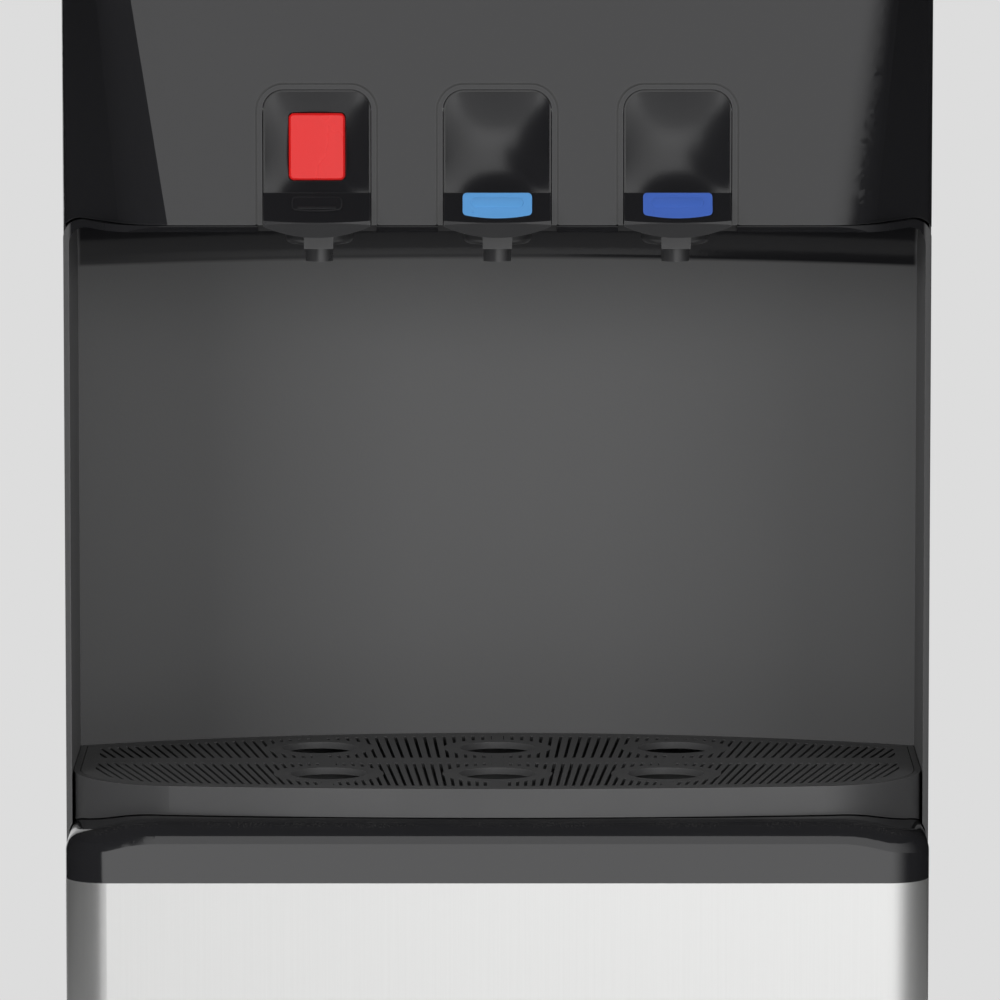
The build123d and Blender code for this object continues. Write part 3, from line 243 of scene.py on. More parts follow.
def softbox(name, low, high, box):
    """Curved glowing cloth whose level falls to nothing from the fade to its right edge."""
    cloth, tree, shader = start_material(name + "_cloth")
    axes = add(tree, "ShaderNodeSeparateXYZ")
    tree.links.new(object_place(tree), axes.inputs[0])
    ahead = math_node(tree, "MULTIPLY", axes.outputs["Y"], -1.0)
    turn = math_node(tree, "ARCTAN2", axes.outputs["X"], ahead)
    fade, edge = math.radians(box["fade"]), math.radians(box["right"])
    level = remap(tree, turn, fade, edge, box["level"], 0.0, smooth=True)
    shader.inputs["Base Color"].default_value = (0, 0, 0, 1)
    shader.inputs["Specular IOR Level"].default_value = 0.0
    shader.inputs["Emission Color"].default_value = (1, 1, 1, 1)
    tree.links.new(level, shader.inputs["Emission Strength"])
    hide_from(stage_sheet(name, wall_rows(BOX_RADIUS, box["left"], box["right"], low, high), cloth),
              "camera", "shadow")


felt, tree, shader = start_material("felt")
shader.inputs["Base Color"].default_value = FELT
shader.inputs["Specular IOR Level"].default_value = 0.0


def felt_sheet(name, rows):
    """Felt that only reflections see."""
    hide_from(stage_sheet(name, rows, felt), "camera", "diffuse", "shadow", "transmission")


for name, low, high, box in (("low_box", 0.0, BOX_SPLIT, LOW_BOX),
                             ("tall_box", BOX_SPLIT, BOX_TOP, TALL_BOX)):
    softbox(name, low, high, box)
    felt_sheet(name + "_felt_left", wall_rows(BOX_RADIUS, FELT_LEFT, box["left"], low, high))
    felt_sheet(name + "_felt_right", wall_rows(BOX_RADIUS, box["right"], FELT_RIGHT, low, high))
roof_ends = (-BOX_RADIUS - ROOF_LAP, BOX_RADIUS + ROOF_LAP)
felt_sheet("felt_roof", [[(x, y, BOX_TOP) for x in roof_ends] for y in roof_ends])
print("softboxes and felt set")


# %% [markdown]
# Wide lamps in front, above and behind fill what the softboxes leave dim, so that a colour
# shows about as it is written. They are kept out of reflections and add no highlight.

# %% Fill lamps
LAMP_AIM = Vector((0, 0, 0.6))


def fill_lamp(name, place, size, power):
    """Square lamp that faces the object and leaves no highlight."""
    data = bpy.data.lights.new(name, "AREA")
    data.size = size
    data.energy = power
    lamp = bpy.data.objects.new(name, data)
    lamp.location = place
    aim = LAMP_AIM - Vector(place)
    lamp.rotation_euler = aim.to_track_quat("-Z", "Y").to_euler()
    bpy.context.scene.collection.objects.link(lamp)
    hide_from(lamp, "camera", "glossy")


fill_lamp("left_fill", (-2.4, -2.8, 1.25), 1.4, 76)
fill_lamp("right_fill", (2.2, -2.8, 1.25), 1.4, 40)
fill_lamp("top_fill", (0, -0.6, 3.6), 2.2, 22)
fill_lamp("rear_fill", (0, 4.0, 2.2), 2.4, 34)
bpy.context.scene.view_settings.view_transform = "Standard"
print("fill lamps set")


# %% [markdown]
# Every moulding needs the same small things: a skin that isn't optically flat, gloss that
# varies in patches, edges painted lighter as a highlight and a little wear, and dust where it
# can lie. Each is a node group, so that a material only says how much of it there is.

# %% Group tools
def new_group(name, inputs, outputs):
    """Shader group with float inputs and typed outputs, and its two end nodes."""
    group = bpy.data.node_groups.new(name, "ShaderNodeTree")
    for label, value in inputs:
        socket = group.interface.new_socket(label, in_out="INPUT", socket_type="NodeSocketFloat")
        socket.default_value = value
    for label, kind in outputs:
        group.interface.new_socket(label, in_out="OUTPUT", socket_type=kind)
    return group, add(group, "NodeGroupInput"), add(group, "NodeGroupOutput")


# %% Moulded skin
PEEL_RISE = 0.0002


def make_moulded_skin():
    """Faint orange peel, and patches of higher and lower gloss."""
    group, start, end = new_group(
        "moulded skin",
        [("Peel size", 0.004), ("Peel depth", 0.1), ("Gloss low", 0.1), ("Gloss high", 0.2),
         ("Patch size", 0.05)],
        [("Roughness", "NodeSocketFloat"), ("Normal", "NodeSocketVector")])
    place = object_place(group)
    peel = noise_node(group, place, math_node(group, "DIVIDE", 1.0, start.outputs["Peel size"]), 2.0)
    patches = noise_node(group, place, math_node(group, "DIVIDE", 1.0, start.outputs["Patch size"]), 4.0)
    ends = (start.outputs["Gloss low"], start.outputs["Gloss high"])
    gloss = remap(group, patches, 0.35, 0.65, *ends)
    normal = bump_node(group, peel, start.outputs["Peel depth"], PEEL_RISE)
    group.links.new(gloss, end.inputs["Roughness"])
    group.links.new(normal, end.inputs["Normal"])
    return group


moulded_skin = make_moulded_skin()
print("group", moulded_skin.name)


# %% Edge highlight and wear
def make_edge_highlight_and_wear():
    """Mask along edges for a painted highlight and a little wear, broken up so that it isn't a drawn
    line.
    """
    group, start, end = new_group("edge highlight and wear", [("Amount", 0.5), ("Width", 0.0006)],
                                  [("Mask", "NodeSocketFloat")])
    shape = add(group, "ShaderNodeNewGeometry")
    bevel = add(group, "ShaderNodeBevel", samples=4)
    group.links.new(start.outputs["Width"], bevel.inputs["Radius"])
    compare = add(group, "ShaderNodeVectorMath", operation="DOT_PRODUCT")
    group.links.new(shape.outputs["Normal"], compare.inputs[0])
    group.links.new(bevel.outputs["Normal"], compare.inputs[1])
    edge = remap(group, compare.outputs["Value"], 0.99, 0.8)
    breakup = noise_node(group, object_place(group), 90.0, 5.0)
    lit_and_worn = math_node(group, "MULTIPLY", edge, breakup)
    group.links.new(math_node(group, "MULTIPLY", lit_and_worn, start.outputs["Amount"]), end.inputs["Mask"])
    return group


edge_highlight_and_wear = make_edge_highlight_and_wear()
print("group", edge_highlight_and_wear.name)


# %% Dust
def make_dust():
    """Mask of fine dust that lies on faces that look up, thicker in drifts."""
    group, start, end = new_group("dust", [("Amount", 0.2), ("Grain size", 0.0006)],
                                  [("Mask", "NodeSocketFloat")])
    facing = add(group, "ShaderNodeSeparateXYZ")
    group.links.new(add(group, "ShaderNodeNewGeometry").outputs["Normal"], facing.inputs[0])
    upward = remap(group, facing.outputs["Z"], 0.55, 0.95, smooth=True)
    place = object_place(group)
    grain = noise_node(group, place, math_node(group, "DIVIDE", 1.0, start.outputs["Grain size"]), 3.0)
    drift = noise_node(group, place, 28.0, 4.0)
    lying = math_node(group, "MULTIPLY", remap(group, grain, 0.45, 0.7), remap(group, drift, 0.3, 0.7))
    covered = math_node(group, "MULTIPLY", lying, upward)
    group.links.new(math_node(group, "MULTIPLY", covered, start.outputs["Amount"]), end.inputs["Mask"])
    return group


dust = make_dust()
print("group", dust.name)


# %% [markdown]
# Brushed sheet is drawn past an abrasive belt, so its scratches all run one way. Noise
# that is squeezed hard across the run and stretched along it gives the same streaks.

# %% Brushed grain
GRAIN_RISE = 0.00005


def make_brushed_grain():
    """Streaks along Z, as a value for colour and gloss and as a fine normal."""
    group, start, end = new_group(
        "brushed grain", [("Streak width", 0.0004), ("Stretch", 200.0), ("Depth", 0.1)],
        [("Streaks", "NodeSocketFloat"), ("Normal", "NodeSocketVector")])
    across = math_node(group, "DIVIDE", 1.0, start.outputs["Streak width"])
    along = math_node(group, "DIVIDE", across, start.outputs["Stretch"])
    join = add(group, "ShaderNodeCombineXYZ")
    for label, source in (("X", across), ("Y", across), ("Z", along)):
        group.links.new(source, join.inputs[label])
    squeeze = add(group, "ShaderNodeVectorMath", operation="MULTIPLY")
    group.links.new(object_place(group), squeeze.inputs[0])
    group.links.new(join.outputs["Vector"], squeeze.inputs[1])
    streaks = noise_node(group, squeeze.outputs["Vector"], 1.0, 3.0)
    group.links.new(streaks, end.inputs["Streaks"])
    group.links.new(bump_node(group, streaks, start.outputs["Depth"], GRAIN_RISE), end.inputs["Normal"])
    return group


brushed_grain = make_brushed_grain()
print("group", brushed_grain.name)


# %% [markdown]
# Hot-dipped zinc freezes into spangles, flat crystals a few millimetres wide that differ a
# little in tone. A Voronoi texture gives each crystal its own shade.

# %% Zinc spangle
def make_spangle():
    """One random value for each crystal, softened by cloudy stains."""
    group, start, end = new_group("zinc spangle", [("Crystal size", 0.008), ("Stain", 0.3)],
                                  [("Shade", "NodeSocketFloat")])
    place = object_place(group)
    crystals = add(group, "ShaderNodeTexVoronoi")
    group.links.new(place, crystals.inputs["Vector"])
    scale = math_node(group, "DIVIDE", 1.0, start.outputs["Crystal size"])
    group.links.new(scale, crystals.inputs["Scale"])
    tone = add(group, "ShaderNodeSeparateXYZ")
    group.links.new(crystals.outputs["Color"], tone.inputs[0])
    stain = math_node(group, "MULTIPLY", noise_node(group, place, 12.0, 5.0), start.outputs["Stain"])
    shade = math_node(group, "SUBTRACT", tone.outputs["X"], stain, clamp=True)
    group.links.new(shade, end.inputs["Shade"])
    return group


zinc_spangle = make_spangle()
print("group", zinc_spangle.name)


# %% Tone blend
def make_tone_blend():
    """Two tones of one colour, mixed by a mask."""
    group = bpy.data.node_groups.new("tone blend", "ShaderNodeTree")
    for label in ("Base", "Worn"):
        group.interface.new_socket(label, in_out="INPUT", socket_type="NodeSocketColor")
    group.interface.new_socket("Mask", in_out="INPUT", socket_type="NodeSocketFloat")
    group.interface.new_socket("Color", in_out="OUTPUT", socket_type="NodeSocketColor")
    start = add(group, "NodeGroupInput")
    end = add(group, "NodeGroupOutput")
    mix = add(group, "ShaderNodeMix", data_type="RGBA")
    group.links.new(start.outputs["Mask"], mix.inputs[0])
    group.links.new(start.outputs["Base"], mix.inputs[6])
    group.links.new(start.outputs["Worn"], mix.inputs[7])
    group.links.new(mix.outputs[2], end.inputs["Color"])
    return group


tone_blend = make_tone_blend()
print("group", tone_blend.name)


# %% [markdown]
# Most of this machine is one family of injection mouldings that differ in colour and in
# how polished their mould was. One function makes them all from those two facts.

# %% Moulded plastics
DUST_TONE = (0.30, 0.29, 0.27, 1)
EDGE_LIGHT_SHARE = 0.10


def place_group(tree, group, **values):
    """Group node with inputs set; a word's underscore stands for a space."""
    node = add(tree, "ShaderNodeGroup", node_tree=group)
    for label, value in values.items():
        node.inputs[label.replace("_", " ")].default_value = value
    return node


def lighter(colour, share):
    """Colour moved towards white by a share."""
    return tuple(c + (1 - c) * share for c in colour[:3]) + (1,)


def moulded(name, colour, gloss_low, gloss_high, peel=0.1, peel_size=0.004, edge_light_and_wear=0.3, dusty=0.12,
            ior=1.5):
    """Plastic moulding with a skin, patches of gloss, edges painted lighter as highlight and wear, and
    some dust.
    """
    material, tree, shader = start_material(name)
    skin = place_group(tree, moulded_skin, Peel_size=peel_size, Peel_depth=peel, Gloss_low=gloss_low,
                       Gloss_high=gloss_high)
    lit_edges = place_group(tree, edge_highlight_and_wear, Amount=edge_light_and_wear)
    lying = place_group(tree, dust, Amount=dusty).outputs["Mask"]
    # Edges are painted lighter: a painted highlight along them, with a little wear.
    tone = place_group(tree, tone_blend, Base=colour, Worn=lighter(colour, EDGE_LIGHT_SHARE))
    tree.links.new(lit_edges.outputs["Mask"], tone.inputs["Mask"])
    dusted = place_group(tree, tone_blend, Worn=DUST_TONE)
    tree.links.new(tone.outputs["Color"], dusted.inputs["Base"])
    tree.links.new(lying, dusted.inputs["Mask"])
    tree.links.new(dusted.outputs["Color"], shader.inputs["Base Color"])
    rough = math_node(tree, "ADD", skin.outputs["Roughness"], lying)
    tree.links.new(rough, shader.inputs["Roughness"])
    tree.links.new(skin.outputs["Normal"], shader.inputs["Normal"])
    shader.inputs["IOR"].default_value = ior
    return material


BLACK = (0.011, 0.011, 0.012, 1)
black_gloss = moulded("black_gloss", BLACK, 0.08, 0.10, peel=0.03)
bay_satin = moulded("bay_satin", (0.085, 0.085, 0.086, 1), 0.54, 0.58, peel=0.15, peel_size=0.0012,
                    ior=1.25)
black_satin = moulded("black_satin", (0.024, 0.024, 0.025, 1), 0.26, 0.34, peel=0.12, peel_size=0.002)
paddle_satin = moulded("paddle_satin", (0.008, 0.008, 0.009, 1), 0.22, 0.27, peel=0.05, peel_size=0.002)
tray_satin = moulded("tray_satin", (0.038, 0.038, 0.039, 1), 0.28, 0.34, peel=0.12, peel_size=0.002)
grille_black = moulded("grille_black", (0.062, 0.062, 0.063, 1), 0.38, 0.46, peel=0.2, peel_size=0.001)
black_base = moulded("black_base", (0.02, 0.02, 0.021, 1), 0.42, 0.55, peel=0.25, peel_size=0.0015)
red_key = moulded("red_key", (0.54, 0.007, 0.007, 1), 0.25, 0.32, peel=0.05, dusty=0.05)
light_blue_key = moulded("light_blue_key", (0.072, 0.240, 0.500, 1), 0.30, 0.36, peel=0.08, dusty=0.05)
dark_blue_key = moulded("dark_blue_key", (0.032, 0.088, 0.355, 1), 0.30, 0.36, peel=0.08, dusty=0.05)
white_plastic = moulded("white_plastic", (0.78, 0.78, 0.76, 1), 0.28, 0.4, peel=0.1, dusty=0.05)
print("mouldings made")


# %% [markdown]
# The lip over the bay and the top of the wall under it are coloured black and made glossier
# above one height. The black is painted shade and painted dark reflection under the lip. The
# side rims keep the satin finish to their top.

# %% Painted shade under the bay's lip
SHADE_BAND = 0.0245
RIM_WIDTH = 0.0035
BAND_EDGE = 0.0012
SHADE_BAND_ROUGHNESS = 0.15


def paint_shade_above(material, height, half_width, colour, roughness):
    """Paint a darker second colour and gloss above a height, between its side rims: painted shade."""
    tree = material.node_tree
    shader = tree.nodes["Principled BSDF"]
    axes = add(tree, "ShaderNodeSeparateXYZ")
    tree.links.new(object_place(tree), axes.inputs[0])
    above = remap(tree, axes.outputs["Z"], height, height + BAND_EDGE)
    aside = math_node(tree, "ABSOLUTE", axes.outputs["X"])
    between = remap(tree, aside, half_width, half_width + BAND_EDGE, 1.0, 0.0)
    shaded = math_node(tree, "MULTIPLY", above, between)
    tone = place_group(tree, tone_blend, Worn=colour)
    tree.links.new(shader.inputs["Base Color"].links[0].from_socket, tone.inputs["Base"])
    tree.links.new(shaded, tone.inputs["Mask"])
    tree.links.new(tone.outputs["Color"], shader.inputs["Base Color"])
    satin = shader.inputs["Roughness"].links[0].from_socket
    feed(tree, shader.inputs["Roughness"], remap(tree, shaded, 0.0, 1.0, satin, roughness))


lip_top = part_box("bay_liner")[1].z
lip_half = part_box("bay_liner")[1].x - RIM_WIDTH
# Painted shade: the lip and the wall under it are coloured black above this height.
paint_shade_above(bay_satin, lip_top - SHADE_BAND, lip_half, BLACK, SHADE_BAND_ROUGHNESS)
print("painted shade above", round(lip_top - SHADE_BAND, 4))


# %% [markdown]
# The lower front is thin stainless sheet with a vertical grain. Its shine is stretched by
# the grain, so it reads as one soft pale field that darkens where the corners turn away.

# %% Metals
def brushed_metal(name, dark, pale, rough_low, rough_high, depth=0.15, streak=0.0004):
    """Metal with a vertical grain in its colour, gloss and surface."""
    material, tree, shader = start_material(name)
    grain = place_group(tree, brushed_grain, Streak_width=streak, Depth=depth)
    tone = place_group(tree, tone_blend, Base=dark, Worn=pale)
    streaks = grain.outputs["Streaks"]
    tree.links.new(streaks, tone.inputs["Mask"])
    tree.links.new(tone.outputs["Color"], shader.inputs["Base Color"])
    tree.links.new(remap(tree, streaks, 0.0, 1.0, rough_low, rough_high), shader.inputs["Roughness"])
    tree.links.new(grain.outputs["Normal"], shader.inputs["Normal"])
    shader.inputs["Metallic"].default_value = 1.0
    return material


def galvanised(name, dark, pale):
    """Zinc-coated sheet with crystals and stains."""
    material, tree, shader = start_material(name)
    shade = place_group(tree, zinc_spangle).outputs["Shade"]
    tone = place_group(tree, tone_blend, Base=dark, Worn=pale)
    tree.links.new(shade, tone.inputs["Mask"])
    tree.links.new(tone.outputs["Color"], shader.inputs["Base Color"])
    tree.links.new(remap(tree, shade, 0.0, 1.0, 0.52, 0.40), shader.inputs["Roughness"])
    shader.inputs["Metallic"].default_value = 1.0
    return material


steel_front = brushed_metal("steel_front", (0.60, 0.60, 0.595, 1), (0.65, 0.65, 0.645, 1), 0.32,
                            0.38, depth=0.08)
zinc_sheet = galvanised("zinc_sheet", (0.40, 0.41, 0.42, 1), (0.54, 0.55, 0.56, 1))
stainless = brushed_metal("stainless", (0.55, 0.55, 0.55, 1), (0.68, 0.68, 0.68, 1), 0.24, 0.34)
copper = brushed_metal("copper", (0.60, 0.27, 0.16, 1), (0.78, 0.42, 0.28, 1), 0.28, 0.42,
                       streak=0.002)
nickel = brushed_metal("nickel", (0.58, 0.56, 0.52, 1), (0.70, 0.68, 0.63, 1), 0.22, 0.3,
                       streak=0.0006)
print("metals made")


# %% Paints and rubber
GLOSS_SPREAD = 0.1


def powder_coat(name, colour, texture_size, gloss):
    """Baked powder paint with a fine leathery texture."""
    return moulded(name, colour, gloss, gloss + GLOSS_SPREAD, peel=0.6, peel_size=texture_size,
                   edge_light_and_wear=0.5)


side_paint = powder_coat("side_paint", (0.022, 0.022, 0.023, 1), 0.0016, 0.38)
black_enamel = powder_coat("black_enamel", (0.015, 0.015, 0.015, 1), 0.003, 0.25)
rubber = moulded("rubber", (0.018, 0.018, 0.018, 1), 0.6, 0.75, peel=0.4, peel_size=0.001)
silicone = moulded("silicone", (0.62, 0.62, 0.60, 1), 0.35, 0.45, peel=0.1)
mark_paint = moulded("mark_paint", (0.80, 0.80, 0.78, 1), 0.45, 0.55, peel=0.1, edge_light_and_wear=0.1, dusty=0.0)
print("paints made")


# %% [markdown]
# The jackets round the tanks are steam-moulded polystyrene. Its beads are pressed into a
# pattern of cells, which a Voronoi texture gives, with a shallow groove round each bead.

# %% Bead foam
BEAD_SIZE = 0.004
GROOVE_WIDTH = 0.08
GROOVE_DEPTH = 0.0004
bead_foam, foam_tree, foam_shader = start_material("bead_foam")
beads = add(foam_tree, "ShaderNodeTexVoronoi", feature="DISTANCE_TO_EDGE")
beads.inputs["Scale"].default_value = 1 / BEAD_SIZE
foam_tree.links.new(object_place(foam_tree), beads.inputs["Vector"])
groove = remap(foam_tree, beads.outputs["Distance"], 0.0, GROOVE_WIDTH)
foam_tone = place_group(foam_tree, tone_blend, Base=(0.62, 0.62, 0.60, 1),
                        Worn=(0.84, 0.84, 0.82, 1))
foam_tree.links.new(groove, foam_tone.inputs["Mask"])
foam_tree.links.new(foam_tone.outputs["Color"], foam_shader.inputs["Base Color"])
foam_tree.links.new(bump_node(foam_tree, groove, 1.0, GROOVE_DEPTH), foam_shader.inputs["Normal"])
foam_shader.inputs["Roughness"].default_value = 0.75
print("bead foam made")


# %% [markdown]
# The frame's pieces arrive with plain slots. Each gets the finish of its real counterpart.
# Taps come three times, so their finishes are given by the word that starts their name.

# %% Finishes on the frame
finishes = {
    "feet": rubber, "base_pan": black_base, "side_panel_left": side_paint,
    "side_panel_right": side_paint, "rear_panel": zinc_sheet, "case_screws": stainless,
    "front_panel": steel_front,
    "tray_deck": black_gloss, "bay_liner": bay_satin, "head_cover": black_gloss,
    "top_cover": black_gloss, "drip_tray": tray_satin, "drip_grille": grille_black,
    "lock_button": red_key, "label_room": light_blue_key, "label_cold": dark_blue_key,
    "pivot_pins": stainless, "paddle_springs": stainless, "bottle_seat": white_plastic,
    "seat_seal": silicone, "cold_tank": stainless, "baffle": white_plastic, "evaporator_coil": copper,
    "tank_foam": bead_foam, "tank_shelf": zinc_sheet, "hot_tank": stainless, "hot_jacket": bead_foam,
    "heater_band": stainless, "thermostats": black_satin, "tank_bracket": zinc_sheet,
    "drain_pipe": white_plastic, "drain_cap": black_satin, "compressor": black_enamel,
    "compressor_plate": zinc_sheet, "grommets": rubber, "compressor_bolts": stainless,
    "refrigerant_pipes": copper, "condenser": black_enamel, "condenser_straps": black_base,
    "water_hoses": silicone, "feed_hose": silicone, "control_box": black_base,
    "power_inlet": black_base, "rocker_heat": red_key, "rocker_cool": black_satin,
}
for tap in ("hot", "room", "cold"):
    finishes["bezel_" + tap] = black_gloss
    finishes["paddle_" + tap] = paddle_satin
    finishes["valve_" + tap] = white_plastic
    finishes["stem_" + tap] = white_plastic
    finishes["nozzle_" + tap] = black_satin


def node_object(name):
    """Blender object of a frame node."""
    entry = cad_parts[name]
    return entry if isinstance(entry, bpy.types.Object) else bpy.data.objects[name]


for name, material in finishes.items():
    for slot in node_object(name).material_slots:
        slot.material = material
unfinished = [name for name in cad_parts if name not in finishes]
print("finished nodes", len(finishes), "left over", unfinished)


# %% [markdown]
# Some fittings are too fine for the frame. They are drawn here point by point, and each one
# rides on the body that carries it, so it moves with that body's joint.

# %% Piece tools
SHARP_ANGLE = 35


def piece_from(name, shape, material, body):
    """Object made from a bmesh, riding on a body of the frame."""
    mesh = bpy.data.meshes.new(name)
    shape.to_mesh(mesh)
    shape.free()
    mesh.materials.append(material)
    piece = bpy.data.objects.new(name, mesh)
    bpy.context.scene.collection.objects.link(piece)
    for face in mesh.polygons:
        face.use_smooth = True
    mesh.set_sharp_from_angle(angle=math.radians(SHARP_ANGLE))
    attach(piece, body)
    return piece


def add_lathe(shape, profile, steps):
    """Closed solid turned about the Y axis from radius and Y pairs; both ends lie on the axis."""
    rings = []
    for radius, y in profile[1:-1]:
        turns = [2 * math.pi * i / steps for i in range(steps)]
        rings.append([shape.verts.new((radius * math.cos(t), y, radius * math.sin(t))) for t in turns])
    for lower, upper in zip(rings, rings[1:]):
        for i in range(steps):
            j = (i + 1) % steps
            shape.faces.new((lower[i], lower[j], upper[j], upper[i]))
    for ring, (_, y) in ((rings[0], profile[0]), (rings[-1], profile[-1])):
        tip = shape.verts.new((0, y, 0))
        for i in range(steps):
            shape.faces.new((ring[i], ring[(i + 1) % steps], tip))
    bmesh.ops.recalc_face_normals(shape, faces=shape.faces)


def add_block(shape, low, high, taper=1.0):
    """Box whose low-Y end is scaled by the taper."""
    middle_x = (low[0] + high[0]) / 2
    middle_z = (low[2] + high[2]) / 2
    corners = []
    for y, scale in ((low[1], taper), (high[1], 1.0)):
        for x, z in ((low[0], low[2]), (high[0], low[2]), (high[0], high[2]), (low[0], high[2])):
            corners.append(shape.verts.new((middle_x + (x - middle_x) * scale, y,
                                            middle_z + (z - middle_z) * scale)))
    for quad in ((0, 1, 2, 3), (7, 6, 5, 4), (0, 4, 5, 1), (1, 5, 6, 2), (2, 6, 7, 3), (3, 7, 4, 0)):
        shape.faces.new([corners[i] for i in quad])
    bmesh.ops.recalc_face_normals(shape, faces=shape.faces)


print("piece tools ready")


# %% [markdown]
# The frame's screws are plain discs. Each gets a domed head with a cross recess, cut by a
# boolean. Each is turned by its own angle, because nobody lines screws up by hand.

# %% Case screws
SCREW_ROWS = 5
SCREW_TURN = 2.4
SCREW_HEAD = 0.0036
HEAD_RISE = 0.0016
RECESS_ARM = 0.0019
RECESS_HALF = 0.00032
RECESS_DEPTH = 0.0011
RECESS_TAPER = 0.45
SCREW_SHANK = 0.0015
SHANK_LENGTH = 0.004
SCREW_STEPS = 32


def loose_object(shape, name):
    """Object for a boolean, which is removed after it."""
    mesh = bpy.data.meshes.new(name)
    shape.to_mesh(mesh)
    shape.free()
    item = bpy.data.objects.new(name, mesh)
    bpy.context.scene.collection.objects.link(item)
    return item


def screw_head_mesh():
    """Pan head with a tapered cross recess; its seat is at Y 0 and it faces +Y."""
    head = bmesh.new()
    dome = ((1.0, 0.5), (0.93, 0.74), (0.78, 0.89), (0.5, 0.975))
    add_lathe(head, [(0, -SHANK_LENGTH), (SCREW_SHANK, -SHANK_LENGTH), (SCREW_SHANK, 0), (SCREW_HEAD, 0),
                     *((r * SCREW_HEAD, y * HEAD_RISE) for r, y in dome), (0, HEAD_RISE)], SCREW_STEPS)
    cross = bmesh.new()
    for arm, half in ((RECESS_ARM, RECESS_HALF), (RECESS_HALF, RECESS_ARM)):
        add_block(cross, (-arm, HEAD_RISE - RECESS_DEPTH, -half), (arm, 2 * HEAD_RISE, half),
                  taper=RECESS_TAPER)
    solid = loose_object(head, "screw_blank")
    cutter = loose_object(cross, "screw_cutter")
    recess = solid.modifiers.new("recess", "BOOLEAN")
    recess.operation = "DIFFERENCE"
    recess.solver = "EXACT"
    recess.use_self = True
    recess.object = cutter
    graph = bpy.context.evaluated_depsgraph_get()
    carved = bpy.data.meshes.new_from_object(solid.evaluated_get(graph))
    bpy.data.objects.remove(solid)
    bpy.data.objects.remove(cutter)
    return carved


low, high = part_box("case_screws")
seat_y = high.y - HEAD_RISE
head_mesh = screw_head_mesh()
screws = bmesh.new()
for row in range(SCREW_ROWS):
    z = low.z + SCREW_HEAD + (high.z - low.z - 2 * SCREW_HEAD) * row / (SCREW_ROWS - 1)
    for column, x in enumerate((low.x + SCREW_HEAD, high.x - SCREW_HEAD)):
        first = len(screws.verts)
        screws.from_mesh(head_mesh)
        screws.verts.ensure_lookup_table()
        turned = Matrix.Rotation(SCREW_TURN * (2 * row + column), 4, "Y")
        placed = Matrix.Translation((x, seat_y, z)) @ turned
        bmesh.ops.transform(screws, matrix=placed, verts=screws.verts[first:])
screw_heads = piece_from("screw_heads", screws, stainless, "cabinet")
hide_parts("case_screws")
print("screw heads", len(screw_heads.data.vertices), "points")


# %% [markdown]
# The drain cap is unscrewed by hand, so its rim has grip ribs. The ribs are flutes pressed
# into the plain radius, so the cap stays inside the frame's size.

# %% Ribbed drain cap
CAP_RIBS = 30
CAP_STEPS = 6
RIB_DEPTH = 0.0005
CAP_WALL = 0.0018
CAP_ROUND = 0.0012


def ribbed_ring(shape, centre, radius, y, depth):
    """Ring of points whose radius dips between ribs."""
    ring = []
    for i in range(CAP_RIBS * CAP_STEPS):
        turn = 2 * math.pi * i / (CAP_RIBS * CAP_STEPS)
        dip = depth * abs(math.sin(turn * CAP_RIBS / 2)) ** 3
        ring.append(shape.verts.new((centre.x + (radius - dip) * math.cos(turn), y,
                                     centre.z + (radius - dip) * math.sin(turn))))
    return ring


low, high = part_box("drain_cap")
middle = (low + high) / 2
outer = (high.z - low.z) / 2
cap = bmesh.new()
sections = [(outer - CAP_WALL, high.y - CAP_WALL, 0.0), (outer - CAP_WALL, low.y, 0.0),
            (outer - 0.4 * CAP_ROUND, low.y, 0.0), (outer, low.y + 0.4 * CAP_ROUND, RIB_DEPTH),
            (outer, high.y - CAP_ROUND, RIB_DEPTH),
            (outer - 0.3 * CAP_ROUND, high.y - 0.3 * CAP_ROUND, 0.0),
            (outer - CAP_ROUND, high.y, 0.0)]
rings = [ribbed_ring(cap, middle, *section) for section in sections]
for near, following in zip(rings, rings[1:]):
    for i, point in enumerate(near):
        j = (i + 1) % len(near)
        cap.faces.new((point, near[j], following[j], following[i]))
cap.faces.new(rings[0])
cap.faces.new(rings[-1])
bmesh.ops.recalc_face_normals(cap, faces=cap.faces)
ribbed_cap = piece_from("ribbed_cap", cap, black_base, "drain_cap")
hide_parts("drain_cap")
print("drain cap ribs", CAP_RIBS)


# %% [markdown]
# The coloured keys carry a shallow thumb pad and a small dot, and the hot key a thin line.
# They lie on the slanting key face, so each is drawn flat and then laid on that plane.

# %% Pads on the keys
KEY_RAISE = 0.0006
PAD_RISE = 0.00022
PAD_SLOPE = 0.0003
PAD = {"half_length": 0.0092, "half_height": 0.0020}
DOT = {"half_length": 0.0005, "half_height": 0.00045}
LINE = {"half_length": 0.0068, "half_height": 0.00045}
PAD_SHARE = 0.62
DOT_SHARE = 0.26
DOT_ASIDE = 0.0086
LINE_SHARE = 0.42


def laid_on(point, right, up, normal, x, y, z):
    """Point of a plane, with its height over the plane."""
    return point + right * x + up * y + normal * z


def add_pad(shape, plane, half_length, half_height, steps=10):
    """Raised pad with round ends and a sloping rim, on a plane given by point and axes."""
    rings = []
    for inset, level in ((0.0, -0.3 * PAD_RISE), (0.35 * PAD_SLOPE, 0.7 * PAD_RISE),
                         (PAD_SLOPE, PAD_RISE)):
        radius = half_height - inset
        straight = half_length - half_height
        ring = []
        for side in (1, -1):
            for i in range(steps + 1):
                turn = math.pi * (i / steps - 0.5)
                x = side * (straight + radius * math.cos(turn))
                ring.append(shape.verts.new(laid_on(*plane, x, side * radius * math.sin(turn), level)))
        rings.append(ring)
    for lower, upper in zip(rings, rings[1:]):
        for i in range(len(lower)):
            j = (i + 1) % len(lower)
            shape.faces.new((lower[i], lower[j], upper[j], upper[i]))
    shape.faces.new(rings[-1])
    bmesh.ops.recalc_face_normals(shape, faces=shape.faces)


